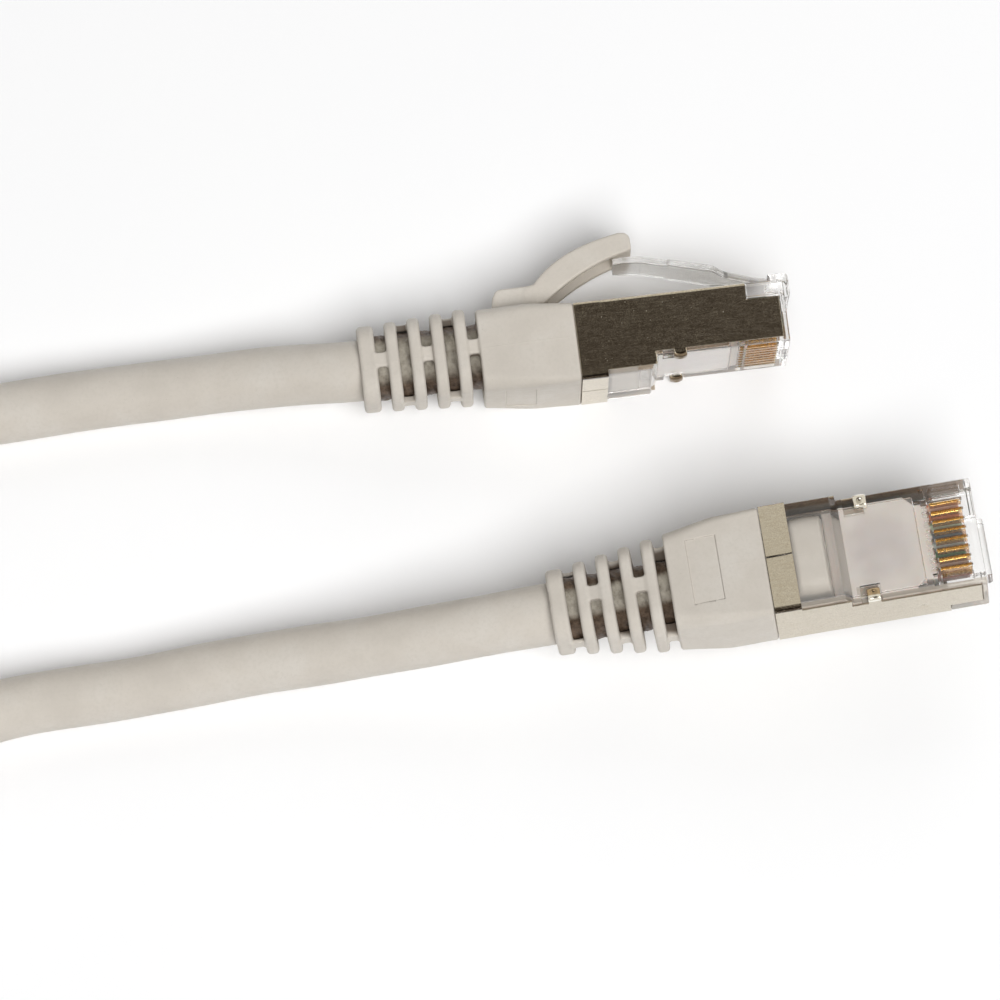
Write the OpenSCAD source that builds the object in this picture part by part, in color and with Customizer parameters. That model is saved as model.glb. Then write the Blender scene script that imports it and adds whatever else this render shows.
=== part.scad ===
// Shielded 8P8C network patch cable: two moulded plugs joined by one metre of round cable.
// Units are millimetres. The cable lies on the plane z = 0.
// Plug A lies on its side, and plug B lies contacts up on the hook of its release lever.
// Each plug is drawn in its own frame: the nose is at x = 0 and the plug runs towards -x,
// the face under the latch is z = 0, the contacts face +z and contact 1 is on the +y side.

/* [Plug body] */
// Width of the plug over its metal shield
plug_w = 11.68; // [11.4:0.02:12]
// Height of the thin front of the plug body
front_h = 6.5; // [6.3:0.05:6.8]
// Height of the thick rear of the plug body
rear_h = 7.85; // [7.6:0.05:8.1]
// Length from the nose to the front face of the boot
plug_len = 21.6; // [20.6:0.1:24]
// Distance from the nose back to the step in height
step_at = 13.5; // [13.3:0.1:14.5]
// Length of the slope at the step
step_run = 0.8; // [0.4:0.1:1.2]
// Thickness of the bare nose plate ahead of the shield
nose_t = 0.55; // [0.4:0.05:0.8]
// Radius of the upright edges of the nose
nose_r = 0.5; // [0.3:0.1:1]
// Thickness of plastic over the load bar
roof_t = 0.7; // [0.5:0.05:0.8]
// Height of the plastic floor under the wires
floor_h = 1.1; // [0.9:0.05:1.2]
// Half width of the lug that carries the latch
lug_half = 3.1; // [2.8:0.1:3.4]
// How far the lug stands out ahead of the nose
lug_front = 0.6; // [0.3:0.1:0.9]
// How far the lug hangs below the plug body
lug_drop = 1.25; // [1.1:0.05:1.4]
// Height of the lug's front pad above the latch face
lug_rise = 1.4; // [1:0.1:2]

/* [Shield] */
// Thickness of the shield's sheet metal
shield_t = 0.2; // [0.15:0.01:0.25]
// Height of the shield's side walls at the thin front
wall_front_h = 6.05; // [5.6:0.05:6.2]
// Height of the shield's side walls at the thick rear
wall_rear_h = 7.4; // [7:0.05:7.6]
// Length of the band that closes round the rear of the plug
band_len = 2.7; // [2:0.1:3.5]
// Gap of the seam where the band's two wings meet
seam_gap = 0.2; // [0.1:0.05:0.4]
// Radius of the shield's lengthwise edges
shield_r = 0.6; // [0.4:0.05:0.8]
// Distance from the nose to the back of the notch beside the latch
notch_back = 3.9; // [3.4:0.1:4.4]
// Height of the notch beside the latch
notch_h = 1.8; // [1.4:0.1:2.2]
// Distance from the nose to the middle of the two holding tabs
tab_at = 11.35; // [10.8:0.05:11.8]
// Width of a holding tab
tab_w = 1.35; // [1:0.05:1.6]
// Reach of a holding tab over the plug body
tab_reach = 1.5; // [1.2:0.1:1.8]

/* [Contacts and wires] */
// Distance between neighbouring contacts
contact_pitch = 1.02; // [1:0.01:1.04]
// Thickness of a contact blade
contact_t = 0.35; // [0.3:0.01:0.4]
// Distance from the nose to the front of the contacts
contact_front = 1.2; // [1:0.1:1.5]
// Length of a contact blade
contact_len = 3.2; // [2.8:0.1:3.4]
// Depth of the blades' tops below the plug's contact face
contact_recess = 0.35; // [0.25:0.05:0.5]
// Diameter of an insulated wire
wire_d = 1; // [0.9:0.02:1.04]
// Height of the middle of the wires above the latch face
wire_mid_h = 3.55; // [3.45:0.05:3.65]
// Height between the upper and the lower row of wires
wire_row_gap = 0.8; // [0.7:0.05:0.9]
// Distance from the nose to the front of the load bar
bar_front = 6; // [5.9:0.1:6.4]
// Length of the load bar
bar_len = 7.2; // [6:0.1:7.4]
// Width of the load bar
bar_w = 9.6; // [9.2:0.05:9.8]
// Height of the load bar
bar_h = 4.2; // [4:0.05:4.3]

/* [Latch] */
// Thickness of the latch arm
latch_t = 0.7; // [0.5:0.05:0.8]
// Width of the latch across its locking shoulders
latch_w = 6.2; // [5.8:0.05:6.4]
// Width of the narrow neck next to the nose
latch_neck_w = 3.25; // [3:0.05:3.6]
// Width of the latch behind its shoulders
latch_tail_w = 5.4; // [5:0.1:5.7]
// Distance from the nose to the hinge line of the latch
latch_hinge_at = 1.6; // [1.5:0.05:1.8]
// Depth of the latch's hinge line below the latch face
latch_hinge_z = 0.8; // [0.75:0.05:0.9]
// Distance from the nose to the free end of the latch
latch_end = 15.9; // [15.4:0.1:16.2]

/* [Boot] */
// Width of the boot at its front
boot_w = 11.7; // [11.5:0.05:12]
// Width of the boot's body at its rear
boot_rear_w = 10.5; // [10:0.1:10.8]
// Length of the boot's body
boot_len = 10; // [9.6:0.1:11]
// Length of the boot's straight front before it narrows
boot_straight = 4.7; // [4:0.1:5.4]
// Height of the boot's contact face above the latch face
boot_top = 8.15; // [8.1:0.05:8.4]
// Thickness of the rings of the strain relief
ring_t = 1.27; // [1:0.01:1.4]
// Thickness of the last ring, at the cable end
end_ring_t = 1.75; // [1.4:0.05:2]
// Open gap between two rings
ring_gap = 1.1; // [0.9:0.05:1.3]
// Width of the ring nearest the boot's body
ring_w_front = 10.6; // [10:0.1:10.8]
// Width of the last ring
ring_w_end = 7.8; // [7.7:0.1:8.4]
// Height of the ring nearest the boot's body
ring_h_front = 8.9; // [8.6:0.1:9]
// Height of the last ring
ring_h_end = 8.4; // [8.2:0.1:8.6]
// Radius of the rings' outer corners
ring_r = 2.5; // [2:0.1:2.9]
// Width of the links that join two rings
link_w = 1.5; // [1.2:0.05:1.8]
// Depth of the plain recessed panel on the boot
panel_depth = 0.15; // [0.1:0.01:0.2]

/* [Release lever] */
// Width of the release lever
lever_w = 6; // [5.6:0.1:6.4]
// Distance from the nose to the lever's hinge line
lever_hinge_at = 25.4; // [25.2:0.1:25.8]
// Depth of the lever's hinge line below the latch face
lever_hinge_z = 2; // [1.95:0.05:2.1]
// Radius of the lever's rounded root
lever_root_r = 1; // [0.9:0.02:1.04]
// Thickness of the lever's roof
lever_roof_t = 1.1; // [0.8:0.1:1.3]
// Thickness of the lever's side walls
lever_wall = 0.9; // [0.6:0.1:1.2]
// Length of the solid end of the lever
lever_tip_len = 2; // [1.5:0.1:2.5]

/* [Cable] */
// Outer diameter of the cable's jacket
cable_d = 6.2; // [5.8:0.05:6.25]
// Width of the jacket where the crimp presses it flat
flat_w = 8; // [7.6:0.1:8.4]
// Height of the jacket where the crimp presses it flat
flat_h = 3.9; // [3.6:0.05:3.95]
// Height of the cable's axis above the latch face
cable_axis_h = 3.1; // [3.1:0.02:3.2]
// Distance from the nose to the front end of the jacket
jacket_front = 15.5; // [14.5:0.1:16.5]
// Thickness of the foil and braid screen
screen_t = 0.2; // [0.15:0.01:0.25]
// Thickness of the crimped collar
collar_t = 0.35; // [0.25:0.05:0.4]
// Length of the crimped collar
collar_len = 5; // [4:0.1:5.2]
// Length of jacket that stands out of the last ring
jacket_out = 0.6; // [0.3:0.1:1]
// Radius of the coil at the middle of its turns
coil_mid_r = 33; // [31:0.5:38]
// Distance between neighbouring turns of one layer
coil_pitch = 6.8; // [6.7:0.05:7.4]
// Height between the coil's two layers
coil_layer = 6.7; // [6.65:0.05:7.5]

/* [Fits] */
// Clearance between fixed pieces that lie against each other
fit = 0.05; // [0.03:0.01:0.06]
// Clearance round a hinge root
hinge_fit = 0.12; // [0.08:0.01:0.15]

/* [Hidden] */
contact_count = 8;
eps = 0.01;
jacket_colour = [0.8, 0.77, 0.72];
PLUG_NODES = concat(
    ["boot", "boot_lever", "housing", "latch", "shield"],
    ["wire_guide", "crimp_collar", "screen", "jacket_end"],
    [for (i = [1:contact_count]) str("contact_", i)],
    [for (i = [1:contact_count]) str("wire_", i)]
);

// Where the two plugs lie: position of the plug's frame, then its roll, pitch and yaw
plug_b_nose_h = 9.13;
plug_a_pose = [[11.55, 16.5, max(plug_w, boot_w) / 2], [90, 0, 6.9]];
plug_b_pose = [[31.55, -11.6, plug_b_nose_h], [-9.6, -4.3, 9]];

// Plug body
core_w = plug_w - 2 * (shield_t + fit);
core_bottom = shield_t + fit;
core_r = shield_r - shield_t;
body_back = plug_len - 2 * fit;
cavity_w = bar_w + 2 * fit;
slot_w = contact_t + 2 * fit;
bore_d = wire_d + 2 * fit;
wire_front = contact_front + 0.2;
wire_back = jacket_front - 2 * fit;
pocket_depth = 0.45;
pocket_reach = tab_reach + 1.1;
pocket_len = tab_w + 0.7;
comb_at = 5;
comb_d = 0.4;
comb_pocket = [0.6, 1.2];
comb_pocket_gap = 0.6 * contact_pitch;
side_pocket_w = 1;
side_pocket_gap = 0.35;
lug_edge_r = 0.4;
lug_pad_t = 0.5;
blade_nose_r = 0.5;
blade_tooth = contact_len / 5;
blade_foot = 0.2;
bar_chamfer = 1;
tab_lip = 0.3;

// Boot
body_end = plug_len + boot_len;
boot_front_bottom = -0.1;
boot_mid_bottom = -0.7;
boot_rear_bottom = -0.9;
boot_mid_top = boot_top - 0.05;
boot_rear_top = boot_top - 0.45;
boot_front_r = 0.6;
boot_mid_r = 1.1;
boot_rear_r = 1.7;
ring_count = 5;
ring_pitch = ring_t + ring_gap;
cage_end = body_end + ring_count * ring_gap + (ring_count - 1) * ring_t + end_ring_t;
panel_front = 4.7;
panel_len = 3.05;
panel_w = 7;
link_inset = 0.15;
block_len = 3.6;
block_front = lever_hinge_at + 0.6;
block_back = block_front + block_len;
block_bottom = -lever_hinge_z - lever_root_r - fit;
block_slant = 0.6;
block_edge = 0.8;
block_lip = 0.3;

// Crimp
flat_back = body_end - 3.6;
flat_r = flat_h / 2 - eps;
screen_in_r = cable_d / 2 + fit;
screen_out_r = screen_in_r + screen_t;
screen_flat_w = flat_w + 2 * (fit + screen_t);
screen_flat_h = flat_h + 2 * (fit + screen_t);
screen_front = plug_len + 0.5;
screen_back = cage_end - end_ring_t - ring_gap - 0.2;
collar_front = plug_len + 0.8;
collar_in_w = screen_flat_w + 2 * fit;
collar_in_h = screen_flat_h + 2 * fit;
boot_bore_r = screen_out_r + 2 * fit;
jacket_back = cage_end + jacket_out;

// Outer face of the latch from its root to its free end, as (x, z)
latch_root_r = lug_drop - latch_hinge_z;
latch_plate_at = 7;
latch_flare_at = 5.2;
latch_neck_at = 3.2;
latch_shoulder_at = 11.3;
latch_bend_at = 14;
latch_corner = 0.6;
latch_lean = 1 / cos(15);
latch_face = [
    [-latch_hinge_at, -lug_drop], [-latch_neck_at, -1.7], [-latch_flare_at, -2.35],
    [-latch_plate_at, -3], [-latch_bend_at, -4.85], [-latch_end, -5]
];

// Outer and inner face of the lever as curves from its root to its tip, as (x, z)
lever_end_at = 14.8;
lever_outer = [
    [-lever_hinge_at, -lever_hinge_z - lever_root_r], [-23.5, -5.2], [-21, -6.7], [-16, -7.55]
];
lever_inner = [[-24.4, -1.05], [-22.6, -2.4], [-19.6, -4.6], [-15.2, -5.5]];
lever_nose = [[-15.3, -7.5], [-14.95, -7.2], [-lever_end_at, -6.8], [-lever_end_at, -5.7]];
lever_root_solid = 1.5;
lever_steps = 8;

// Cable: points along the two stretches that lie loose, from each plug to the coil
cable_r = cable_d / 2;
tube_sides = 8;
coil_sides = 6;
rings_per_turn = 24;
route_a = [
    [-38, 7.9, 5], [-50.5, 6.9, 3.2], [-63, 5.2, cable_r], [-77, 3.4, cable_r],
    [-85, 4.3, cable_r], [-92, 7.2, cable_r]
];
route_b = [
    [-19.5, -19.2, 8.2], [-31.9, -21, 5.8], [-44, -22.6, 3.9], [-56.2, -24.8, cable_r],
    [-68.7, -27.1, 3.5], [-74.5, -29.4, 4.6], [-80, -32.8, 6.4], [-86, -37.8, 8.4]
];
coil_centre = [-124, -20];
coil_in_angle = 60;
coil_out_angle = 315;
coil_whole_turns = 3;
coil_turns = coil_whole_turns + (coil_out_angle - coil_in_angle) / 360;

// ---------------------------------------------------------------- small tools

// Extrudes a profile drawn as (y, z) along x, from one place to another
module along_x(from, to) {
    translate([from, 0, 0]) rotate([90, 0, 90]) linear_extrude(to - from) children();
}

// Extrudes a profile drawn as (x, z) evenly to both sides of y = 0
module across_y(width) {
    rotate([90, 0, 0]) linear_extrude(width, center = true) children();
}

// Rectangle with round corners between two heights, centred on y = 0
module round_rect(w, z0, z1, r) {
    translate([-w / 2, z0 + r]) square([w, z1 - z0 - 2 * r]);
    translate([-w / 2 + r, z0]) square([w - 2 * r, z1 - z0]);
    for (y = [r - w / 2, w / 2 - r], z = [z0 + r, z1 - r])
        translate([y, z]) circle(r, $fn = 32);
}

// Rectangle whose two lower corners are round, from height z0 up to z1
module trough(w, z0, z1, r) {
    translate([-w / 2, z0 + r]) square([w, z1 - z0 - r]);
    translate([-w / 2 + r, z0]) square([w - 2 * r, r + eps]);
    for (y = [r - w / 2, w / 2 - r])
        translate([y, z0 + r]) circle(r, $fn = 32);
}

// Thin upright slice with round corners, for hulls
module slice(x, w, z0, z1, r) {
    along_x(x - eps, x + eps) round_rect(w, z0, z1, r);
}

function rot_x(a, v) = [v.x, v.y * cos(a) - v.z * sin(a), v.y * sin(a) + v.z * cos(a)];
function rot_y(a, v) = [v.x * cos(a) + v.z * sin(a), v.y, v.z * cos(a) - v.x * sin(a)];
function rot_z(a, v) = [v.x * cos(a) - v.y * sin(a), v.x * sin(a) + v.y * cos(a), v.z];
function turn(angles, v) = rot_z(angles.z, rot_y(angles.y, rot_x(angles.x, v)));
// A place in a plug's own frame, seen from the frame of the whole cable
function plug_point(pose, v) = pose[0] + turn(pose[1], v);

module placed(pose) {
    translate(pose[0]) rotate(pose[1]) children();
}

function unit(v) = v / norm(v);

// Point at share t of a cubic curve with four control points
function curve(p, t) =
    (1 - t) * (1 - t) * (1 - t) * p[0] + 3 * t * (1 - t) * (1 - t) * p[1]
    + 3 * t * t * (1 - t) * p[2] + t * t * t * p[3];
function curve_points(p, steps) = [for (i = [0:steps]) curve(p, i / steps)];
// The same curve moved sideways by a distance, to the left of its direction
function curve_beside(p, steps, d) = [
    for (i = [0:steps])
        let (t = i / steps, way = unit(curve(p, t + eps) - curve(p, t - eps)))
        curve(p, t) + d * [-way.y, way.x]
];
function reversed(list) = [for (i = [len(list) - 1:-1:0]) list[i]];

// ---------------------------------------------------------------- plug body

function contact_y(i) = (contact_count / 2 - i + 0.5) * contact_pitch;
function wire_z(i) = wire_mid_h + (i % 2 == 1 ? 0.5 : -0.5) * wire_row_gap;

// The moulded block inside the shield, seen from the side
module core_side() {
    polygon([
        [-eps, core_bottom], [-body_back, core_bottom], [-body_back, rear_h],
        [-step_at - step_run, rear_h], [-step_at, front_h], [-eps, front_h]
    ]);
}

module housing_block() {
    intersection() {
        across_y(core_w) core_side();
        along_x(-plug_len, 0) trough(core_w, core_bottom, rear_h + 1, core_r);
    }
    // bare nose plate
    along_x(-nose_t, 0) round_rect(plug_w, 0, front_h, nose_r);
    // shoulders that fill the shield's notches
    along_x(-notch_back + fit, -nose_t + eps)
        trough(plug_w, 0, notch_h - fit, nose_r);
    // lug in front of the latch
    across_y(2 * lug_half) difference() {
        union() {
            translate([-latch_hinge_at, -lug_drop])
                square([latch_hinge_at + lug_front - lug_edge_r, lug_drop + notch_h / 2]);
            translate([0, -lug_drop + lug_edge_r])
                square([lug_front, lug_drop + lug_rise - 2 * lug_edge_r]);
            for (z = [-lug_drop + lug_edge_r, lug_rise - lug_edge_r])
                translate([lug_front - lug_edge_r, z]) circle(lug_edge_r, $fn = 32);
            translate([-eps, lug_rise - lug_pad_t])
                square([lug_front - lug_edge_r + eps, lug_pad_t]);
        }
        translate([-latch_hinge_at, -latch_hinge_z]) circle(latch_root_r + hinge_fit, $fn = 48);
        translate([-latch_hinge_at - 1, -lug_drop - 1]) square([1, lug_drop + 1]);
    }
}

module wire_space() {
    // chamber for the load bar, open at the rear
    translate([-plug_len, -cavity_w / 2, floor_h])
        cube([plug_len - bar_front + fit, cavity_w, front_h - roof_t - floor_h]);
    for (i = [1:contact_count]) {
        translate([-bar_front, contact_y(i), wire_z(i)]) rotate([0, 90, 0])
            cylinder(d = bore_d, h = bar_front - wire_front + fit, $fn = 24);
        // slot for the blade
        translate([
            -contact_front - contact_len - fit, contact_y(i) - slot_w / 2, wire_z(i) - fit
        ])
            cube([contact_len + 2 * fit, slot_w, front_h]);
    }
}

module top_pockets() {
    // row of small comb holes behind the blades
    for (i = [1:contact_count])
        translate([-comb_at, contact_y(i), front_h - pocket_depth])
            cylinder(d = comb_d, h = pocket_depth + eps, $fn = 16);
    for (side = [-1, 1]) {
        translate([
            -comb_at - comb_pocket.x / 2,
            side * (contact_y(1) + contact_pitch / 2 + comb_pocket_gap) - comb_pocket.y / 2,
            front_h - pocket_depth
        ])
            cube([comb_pocket.x, comb_pocket.y, 1]);
        // shallow wells beside the outer blades
        translate([
            -contact_front - contact_len,
            side * (contact_y(1) + slot_w / 2 + side_pocket_gap + side_pocket_w / 2)
                - side_pocket_w / 2,
            front_h - 2 * pocket_depth
        ])
            cube([contact_len, side_pocket_w, 2]);
        // pockets under the shield's holding tabs
        translate([
            -tab_at - pocket_len / 2,
            side * (core_w / 2 - pocket_reach / 2) - pocket_reach / 2,
            front_h - pocket_depth
        ])
            cube([pocket_len, pocket_reach, 1]);
    }
}

module housing() {
    color("gainsboro", 0.45) difference() {
        housing_block();
        wire_space();
        top_pockets();
    }
}

// ---------------------------------------------------------------- shield

module channel(from, to, h) {
    along_x(-to, -from) difference() {
        trough(plug_w, 0, h, shield_r);
        trough(plug_w - 2 * shield_t, shield_t, h + 1, core_r);
    }
}

module band() {
    band_top = rear_h + fit + shield_t;
    band_front = plug_len - fit - band_len;
    along_x(-plug_len + fit, -band_front) difference() {
        round_rect(plug_w, 0, band_top, shield_r);
        round_rect(plug_w - 2 * shield_t, shield_t, band_top - shield_t, core_r / 2);
        translate([-seam_gap / 2, band_top / 2]) square([seam_gap, band_top]);
    }
}

module holding_tab(side) {
    tab_top = front_h + fit + shield_t;
    along_x(-tab_at - tab_w / 2, -tab_at + tab_w / 2) scale([side, 1]) {
        translate([plug_w / 2 - shield_t, wall_front_h - eps])
            square([shield_t, tab_top - wall_front_h + eps]);
        translate([plug_w / 2 - tab_reach, tab_top - shield_t]) square([tab_reach, shield_t]);
        translate([plug_w / 2 - tab_reach, tab_top - shield_t - tab_lip])
            square([shield_t, shield_t + tab_lip]);
    }
}

module shield() {
    step_back = step_at + step_run / 3;
    color([0.72, 0.69, 0.63]) difference() {
        union() {
            channel(nose_t + fit, step_back, wall_front_h);
            channel(step_back - eps, plug_len - fit, wall_rear_h);
            band();
            for (side = [-1, 1]) holding_tab(side);
        }
        // notch that clears the latch and its shoulders
        translate([-notch_back, -plug_w, -1]) cube([notch_back, 2 * plug_w, notch_h + 1]);
    }
}

// ---------------------------------------------------------------- contacts and wires

module contact(i) {
    top = front_h - contact_recess;
    tooth = blade_tooth;
    low = wire_z(i);
    high = wire_z(i) + wire_d / 2 + blade_foot;
    color([0.85, 0.62, 0.2])
        translate([-contact_front, contact_y(i), 0]) across_y(contact_t) {
            translate([-contact_len, high]) square([contact_len, top - blade_nose_r - high]);
            translate([-contact_len, high]) square([contact_len - blade_nose_r, top - high]);
            translate([-blade_nose_r, top - blade_nose_r]) circle(blade_nose_r, $fn = 32);
            // two teeth that bite through the wire
            for (x = [-contact_len + tooth, -2 * tooth])
                polygon([[x - tooth / 2, low], [x + tooth / 2, low],
                    [x + tooth, high + eps], [x - tooth, high + eps]]);
        }
}

module wire(i) {
    wire_colours = [
        [0.95, 0.8, 0.65], [0.93, 0.5, 0.15], [0.75, 0.88, 0.72], [0.2, 0.35, 0.7],
        [0.7, 0.78, 0.9], [0.15, 0.5, 0.25], [0.8, 0.7, 0.62], [0.45, 0.27, 0.18]
    ];
    color(wire_colours[i - 1]) difference() {
        translate([-wire_back, contact_y(i), wire_z(i)]) rotate([0, 90, 0])
            cylinder(d = wire_d, h = wire_back - wire_front, $fn = 24);
        // cut that the blade has bitten
        translate([
            -contact_front - contact_len - fit, contact_y(i) - slot_w / 2, wire_z(i) - fit
        ])
            cube([contact_len + 2 * fit, slot_w, wire_d]);
    }
}

// Milky block that holds the wires in two rows
module wire_guide() {
    chamfer = bar_chamfer;
    bottom = wire_mid_h - bar_h / 2;
    color([0.9, 0.88, 0.85]) difference() {
        translate([0, 0, bottom]) linear_extrude(bar_h) polygon([
            [-bar_front - bar_len, -bar_w / 2], [-bar_front - chamfer, -bar_w / 2],
            [-bar_front, -bar_w / 2 + chamfer], [-bar_front, bar_w / 2 - chamfer],
            [-bar_front - chamfer, bar_w / 2], [-bar_front - bar_len, bar_w / 2]
        ]);
        for (i = [1:contact_count])
            translate([-bar_front - bar_len - 1, contact_y(i), wire_z(i)]) rotate([0, 90, 0])
                cylinder(d = bore_d, h = bar_len + 2, $fn = 24);
    }
}

// ---------------------------------------------------------------- latch

module latch() {
    n = len(latch_face) - 1;
    back_face = [
        for (i = [n:-1:0])
            latch_face[i] + [0, i == 0 ? 2 * latch_root_r : latch_t * (i < n ? latch_lean : 1)]
    ];
    color("gainsboro", 0.45) {
        intersection() {
            across_y(latch_w) polygon(concat(latch_face, back_face));
            translate([0, 0, -lug_drop - latch_end]) linear_extrude(latch_end) latch_plan();
        }
        translate([-latch_hinge_at, 0, -latch_hinge_z]) rotate([90, 0, 0])
            cylinder(r = latch_root_r, h = latch_neck_w, center = true, $fn = 48);
    }
}

// The latch seen from below: neck, flare, shoulders and tail
module latch_plan() {
    flare = latch_plate_at - latch_flare_at;
    flare_w = (latch_w - latch_neck_w) / 2;
    steps = 6;
    side = concat(
        [[-latch_hinge_at + latch_root_r, latch_neck_w / 2]],
        [for (i = [0:steps]) [
            -latch_flare_at - flare * i / steps,
            latch_neck_w / 2 + flare_w * (1 - cos(180 * i / steps)) / 2
        ]],
        [[-latch_shoulder_at, latch_w / 2], [-latch_shoulder_at, latch_tail_w / 2],
            [-latch_end + latch_corner, latch_tail_w / 2],
            [-latch_end, latch_tail_w / 2 - latch_corner]]
    );
    polygon(concat(side, reversed([for (p = side) [p.x, -p.y]])));
}

// ---------------------------------------------------------------- boot and lever

// Width and height of ring n, counted from the boot's body
function ring_share(n) = (n - 1) / (ring_count - 1);
function ring_w(n) = ring_w_front + (ring_w_end - ring_w_front) * ring_share(n);
function ring_h(n) = ring_h_front + (ring_h_end - ring_h_front) * ring_share(n);
function ring_from(n) = body_end + n * ring_gap + (n - 1) * ring_t;
function ring_to(n) = ring_from(n) + (n == ring_count ? end_ring_t : ring_t);

module ring(n) {
    along_x(-ring_to(n), -ring_from(n)) round_rect(
        ring_w(n), cable_axis_h - ring_h(n) / 2, cable_axis_h + ring_h(n) / 2, ring_r
    );
}

// Links in the gap ahead of ring n: on the sides, or above and below
module links(n) {
    w = min(ring_w(n), n == 1 ? boot_rear_w : ring_w(n - 1)) - 2 * link_inset;
    h = ring_h(n) - 2 * link_inset;
    from = -ring_from(n) - eps;
    on_sides = n % 2 == 1;
    along_x(from, from + ring_gap + 2 * eps) translate([0, cable_axis_h])
        square(on_sides ? [w, link_w] : [link_w, h], center = true);
}

module boot_body() {
    hull() {
        slice(-plug_len - eps, boot_w, boot_front_bottom, boot_top, boot_front_r);
        slice(-plug_len - boot_straight, boot_w, boot_mid_bottom, boot_mid_top, boot_mid_r);
    }
    hull() {
        slice(-plug_len - boot_straight, boot_w, boot_mid_bottom, boot_mid_top, boot_mid_r);
        slice(-body_end + eps, boot_rear_w, boot_rear_bottom, boot_rear_top, boot_rear_r);
    }
}

// Block on the boot that carries the release lever
module lever_block() {
    across_y(lever_w) difference() {
        polygon([
            [-block_back - block_slant, 0], [-block_back, block_bottom + block_edge],
            [-block_back + block_lip, block_bottom + block_lip],
            [-block_back + block_edge, block_bottom],
            [-block_front, block_bottom], [-block_front, 0]
        ]);
        translate([-lever_hinge_at, -lever_hinge_z])
            circle(lever_root_r + hinge_fit, $fn = 48);
    }
}

module boot() {
    color(jacket_colour) difference() {
        union() {
            boot_body();
            for (n = [1:ring_count]) {
                ring(n);
                links(n);
            }
            lever_block();
        }
        translate([-cage_end - cable_d, 0, cable_axis_h]) rotate([0, 90, 0])
            cylinder(r = boot_bore_r, h = cage_end + cable_d - flat_back + fit, $fn = 64);
        // space for the crimp collar and the flattened cable
        along_x(-flat_back - 4 * fit, -screen_front + 2 * (screen_front - plug_len)) translate([0, cable_axis_h]) round_rect(
            collar_in_w + 2 * (collar_t + fit), -collar_in_h / 2 - collar_t - fit,
            collar_in_h / 2 + collar_t + fit, flat_r
        );
        translate([
            -plug_len - panel_front - panel_len, -panel_w / 2, boot_mid_top - panel_depth
        ])
            cube([panel_len, panel_w, 2]);
    }
}

// Hollow hook over the free end of the latch
module boot_lever() {
    hollow_w = lever_w - 2 * lever_wall;
    hollow_back = lever_hinge_at - lever_root_solid;
    hollow_front = lever_end_at + lever_tip_len;
    color(jacket_colour) difference() {
        union() {
            across_y(lever_w) polygon(concat(
                curve_points(lever_outer, lever_steps),
                lever_nose,
                reversed(curve_points(lever_inner, lever_steps)),
                [[-lever_hinge_at, -lever_hinge_z + lever_root_r]]
            ));
            translate([-lever_hinge_at, 0, -lever_hinge_z]) rotate([90, 0, 0])
                cylinder(r = lever_root_r, h = lever_w, center = true, $fn = 48);
        }
        intersection() {
            across_y(hollow_w) polygon(concat(
                curve_beside(lever_outer, lever_steps, lever_roof_t),
                [[-lever_end_at, 0], [-lever_hinge_at, 0]]
            ));
            translate([-hollow_back, -lever_w, -lever_hinge_at])
                cube([hollow_back - hollow_front, 2 * lever_w, lever_hinge_at]);
        }
    }
}

// ---------------------------------------------------------------- cable inside the plug

// Jacket of the cable: pressed flat inside the crimp, round behind it
module jacket_end() {
    neck_w = cable_d - 2 * fit;
    color(jacket_colour) {
        along_x(-flat_back + fit, -jacket_front) translate([0, cable_axis_h])
            round_rect(flat_w, -flat_h / 2, flat_h / 2, flat_r);
        along_x(-flat_back - 2 * fit, -flat_back + 2 * fit) translate([0, cable_axis_h])
            round_rect(neck_w, -flat_h / 2 + fit, flat_h / 2 - fit, flat_r - fit);
        translate([-jacket_back, 0, cable_axis_h]) rotate([0, 90, 0])
            cylinder(d = cable_d, h = jacket_back - flat_back - fit, $fn = 64);
    }
}

// Foil and braid of the cable, folded back over its jacket
module screen() {
    plate_t = 0.2;
    color([0.75, 0.73, 0.7]) {
        along_x(-flat_back, -screen_front) translate([0, cable_axis_h]) difference() {
            round_rect(screen_flat_w, -screen_flat_h / 2, screen_flat_h / 2, flat_r);
            round_rect(flat_w + 2 * fit, -flat_h / 2 - fit, flat_h / 2 + fit, flat_r);
        }
        along_x(-flat_back - plate_t, -flat_back) translate([0, cable_axis_h]) difference() {
            union() {
                round_rect(screen_flat_w, -screen_flat_h / 2, screen_flat_h / 2, flat_r);
                circle(screen_out_r, $fn = 64);
            }
            circle(screen_in_r, $fn = 64);
        }
        along_x(-screen_back, -flat_back - plate_t) translate([0, cable_axis_h]) difference() {
            circle(screen_out_r, $fn = 64);
            circle(screen_in_r, $fn = 64);
        }
    }
}

module crimp_collar() {
    color([0.7, 0.68, 0.64]) along_x(-collar_front - collar_len, -collar_front)
        translate([0, cable_axis_h]) difference() {
            round_rect(
                collar_in_w + 2 * collar_t, -collar_in_h / 2 - collar_t,
                collar_in_h / 2 + collar_t, flat_r
            );
            round_rect(collar_in_w, -collar_in_h / 2, collar_in_h / 2, flat_r);
        }
}

// ---------------------------------------------------------------- loose cable

// Ring of points round a centre, square to a direction, with one point lowest
function ring_points(centre, way, r, sides) =
    let (side = unit(cross(way, [0, 0, 1])), over = cross(side, way))
    [for (i = [0:sides - 1])
        let (a = 360 * i / sides - 90) centre + r * (cos(a) * side + sin(a) * over)];

// Direction of travel at point i of a route, with its first and last directions given
function way_at(route, i, first, last) =
    i == 0 ? unit(first)
    : i == len(route) - 1 ? unit(last)
    : unit(unit(route[i] - route[i - 1]) + unit(route[i + 1] - route[i]));

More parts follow.
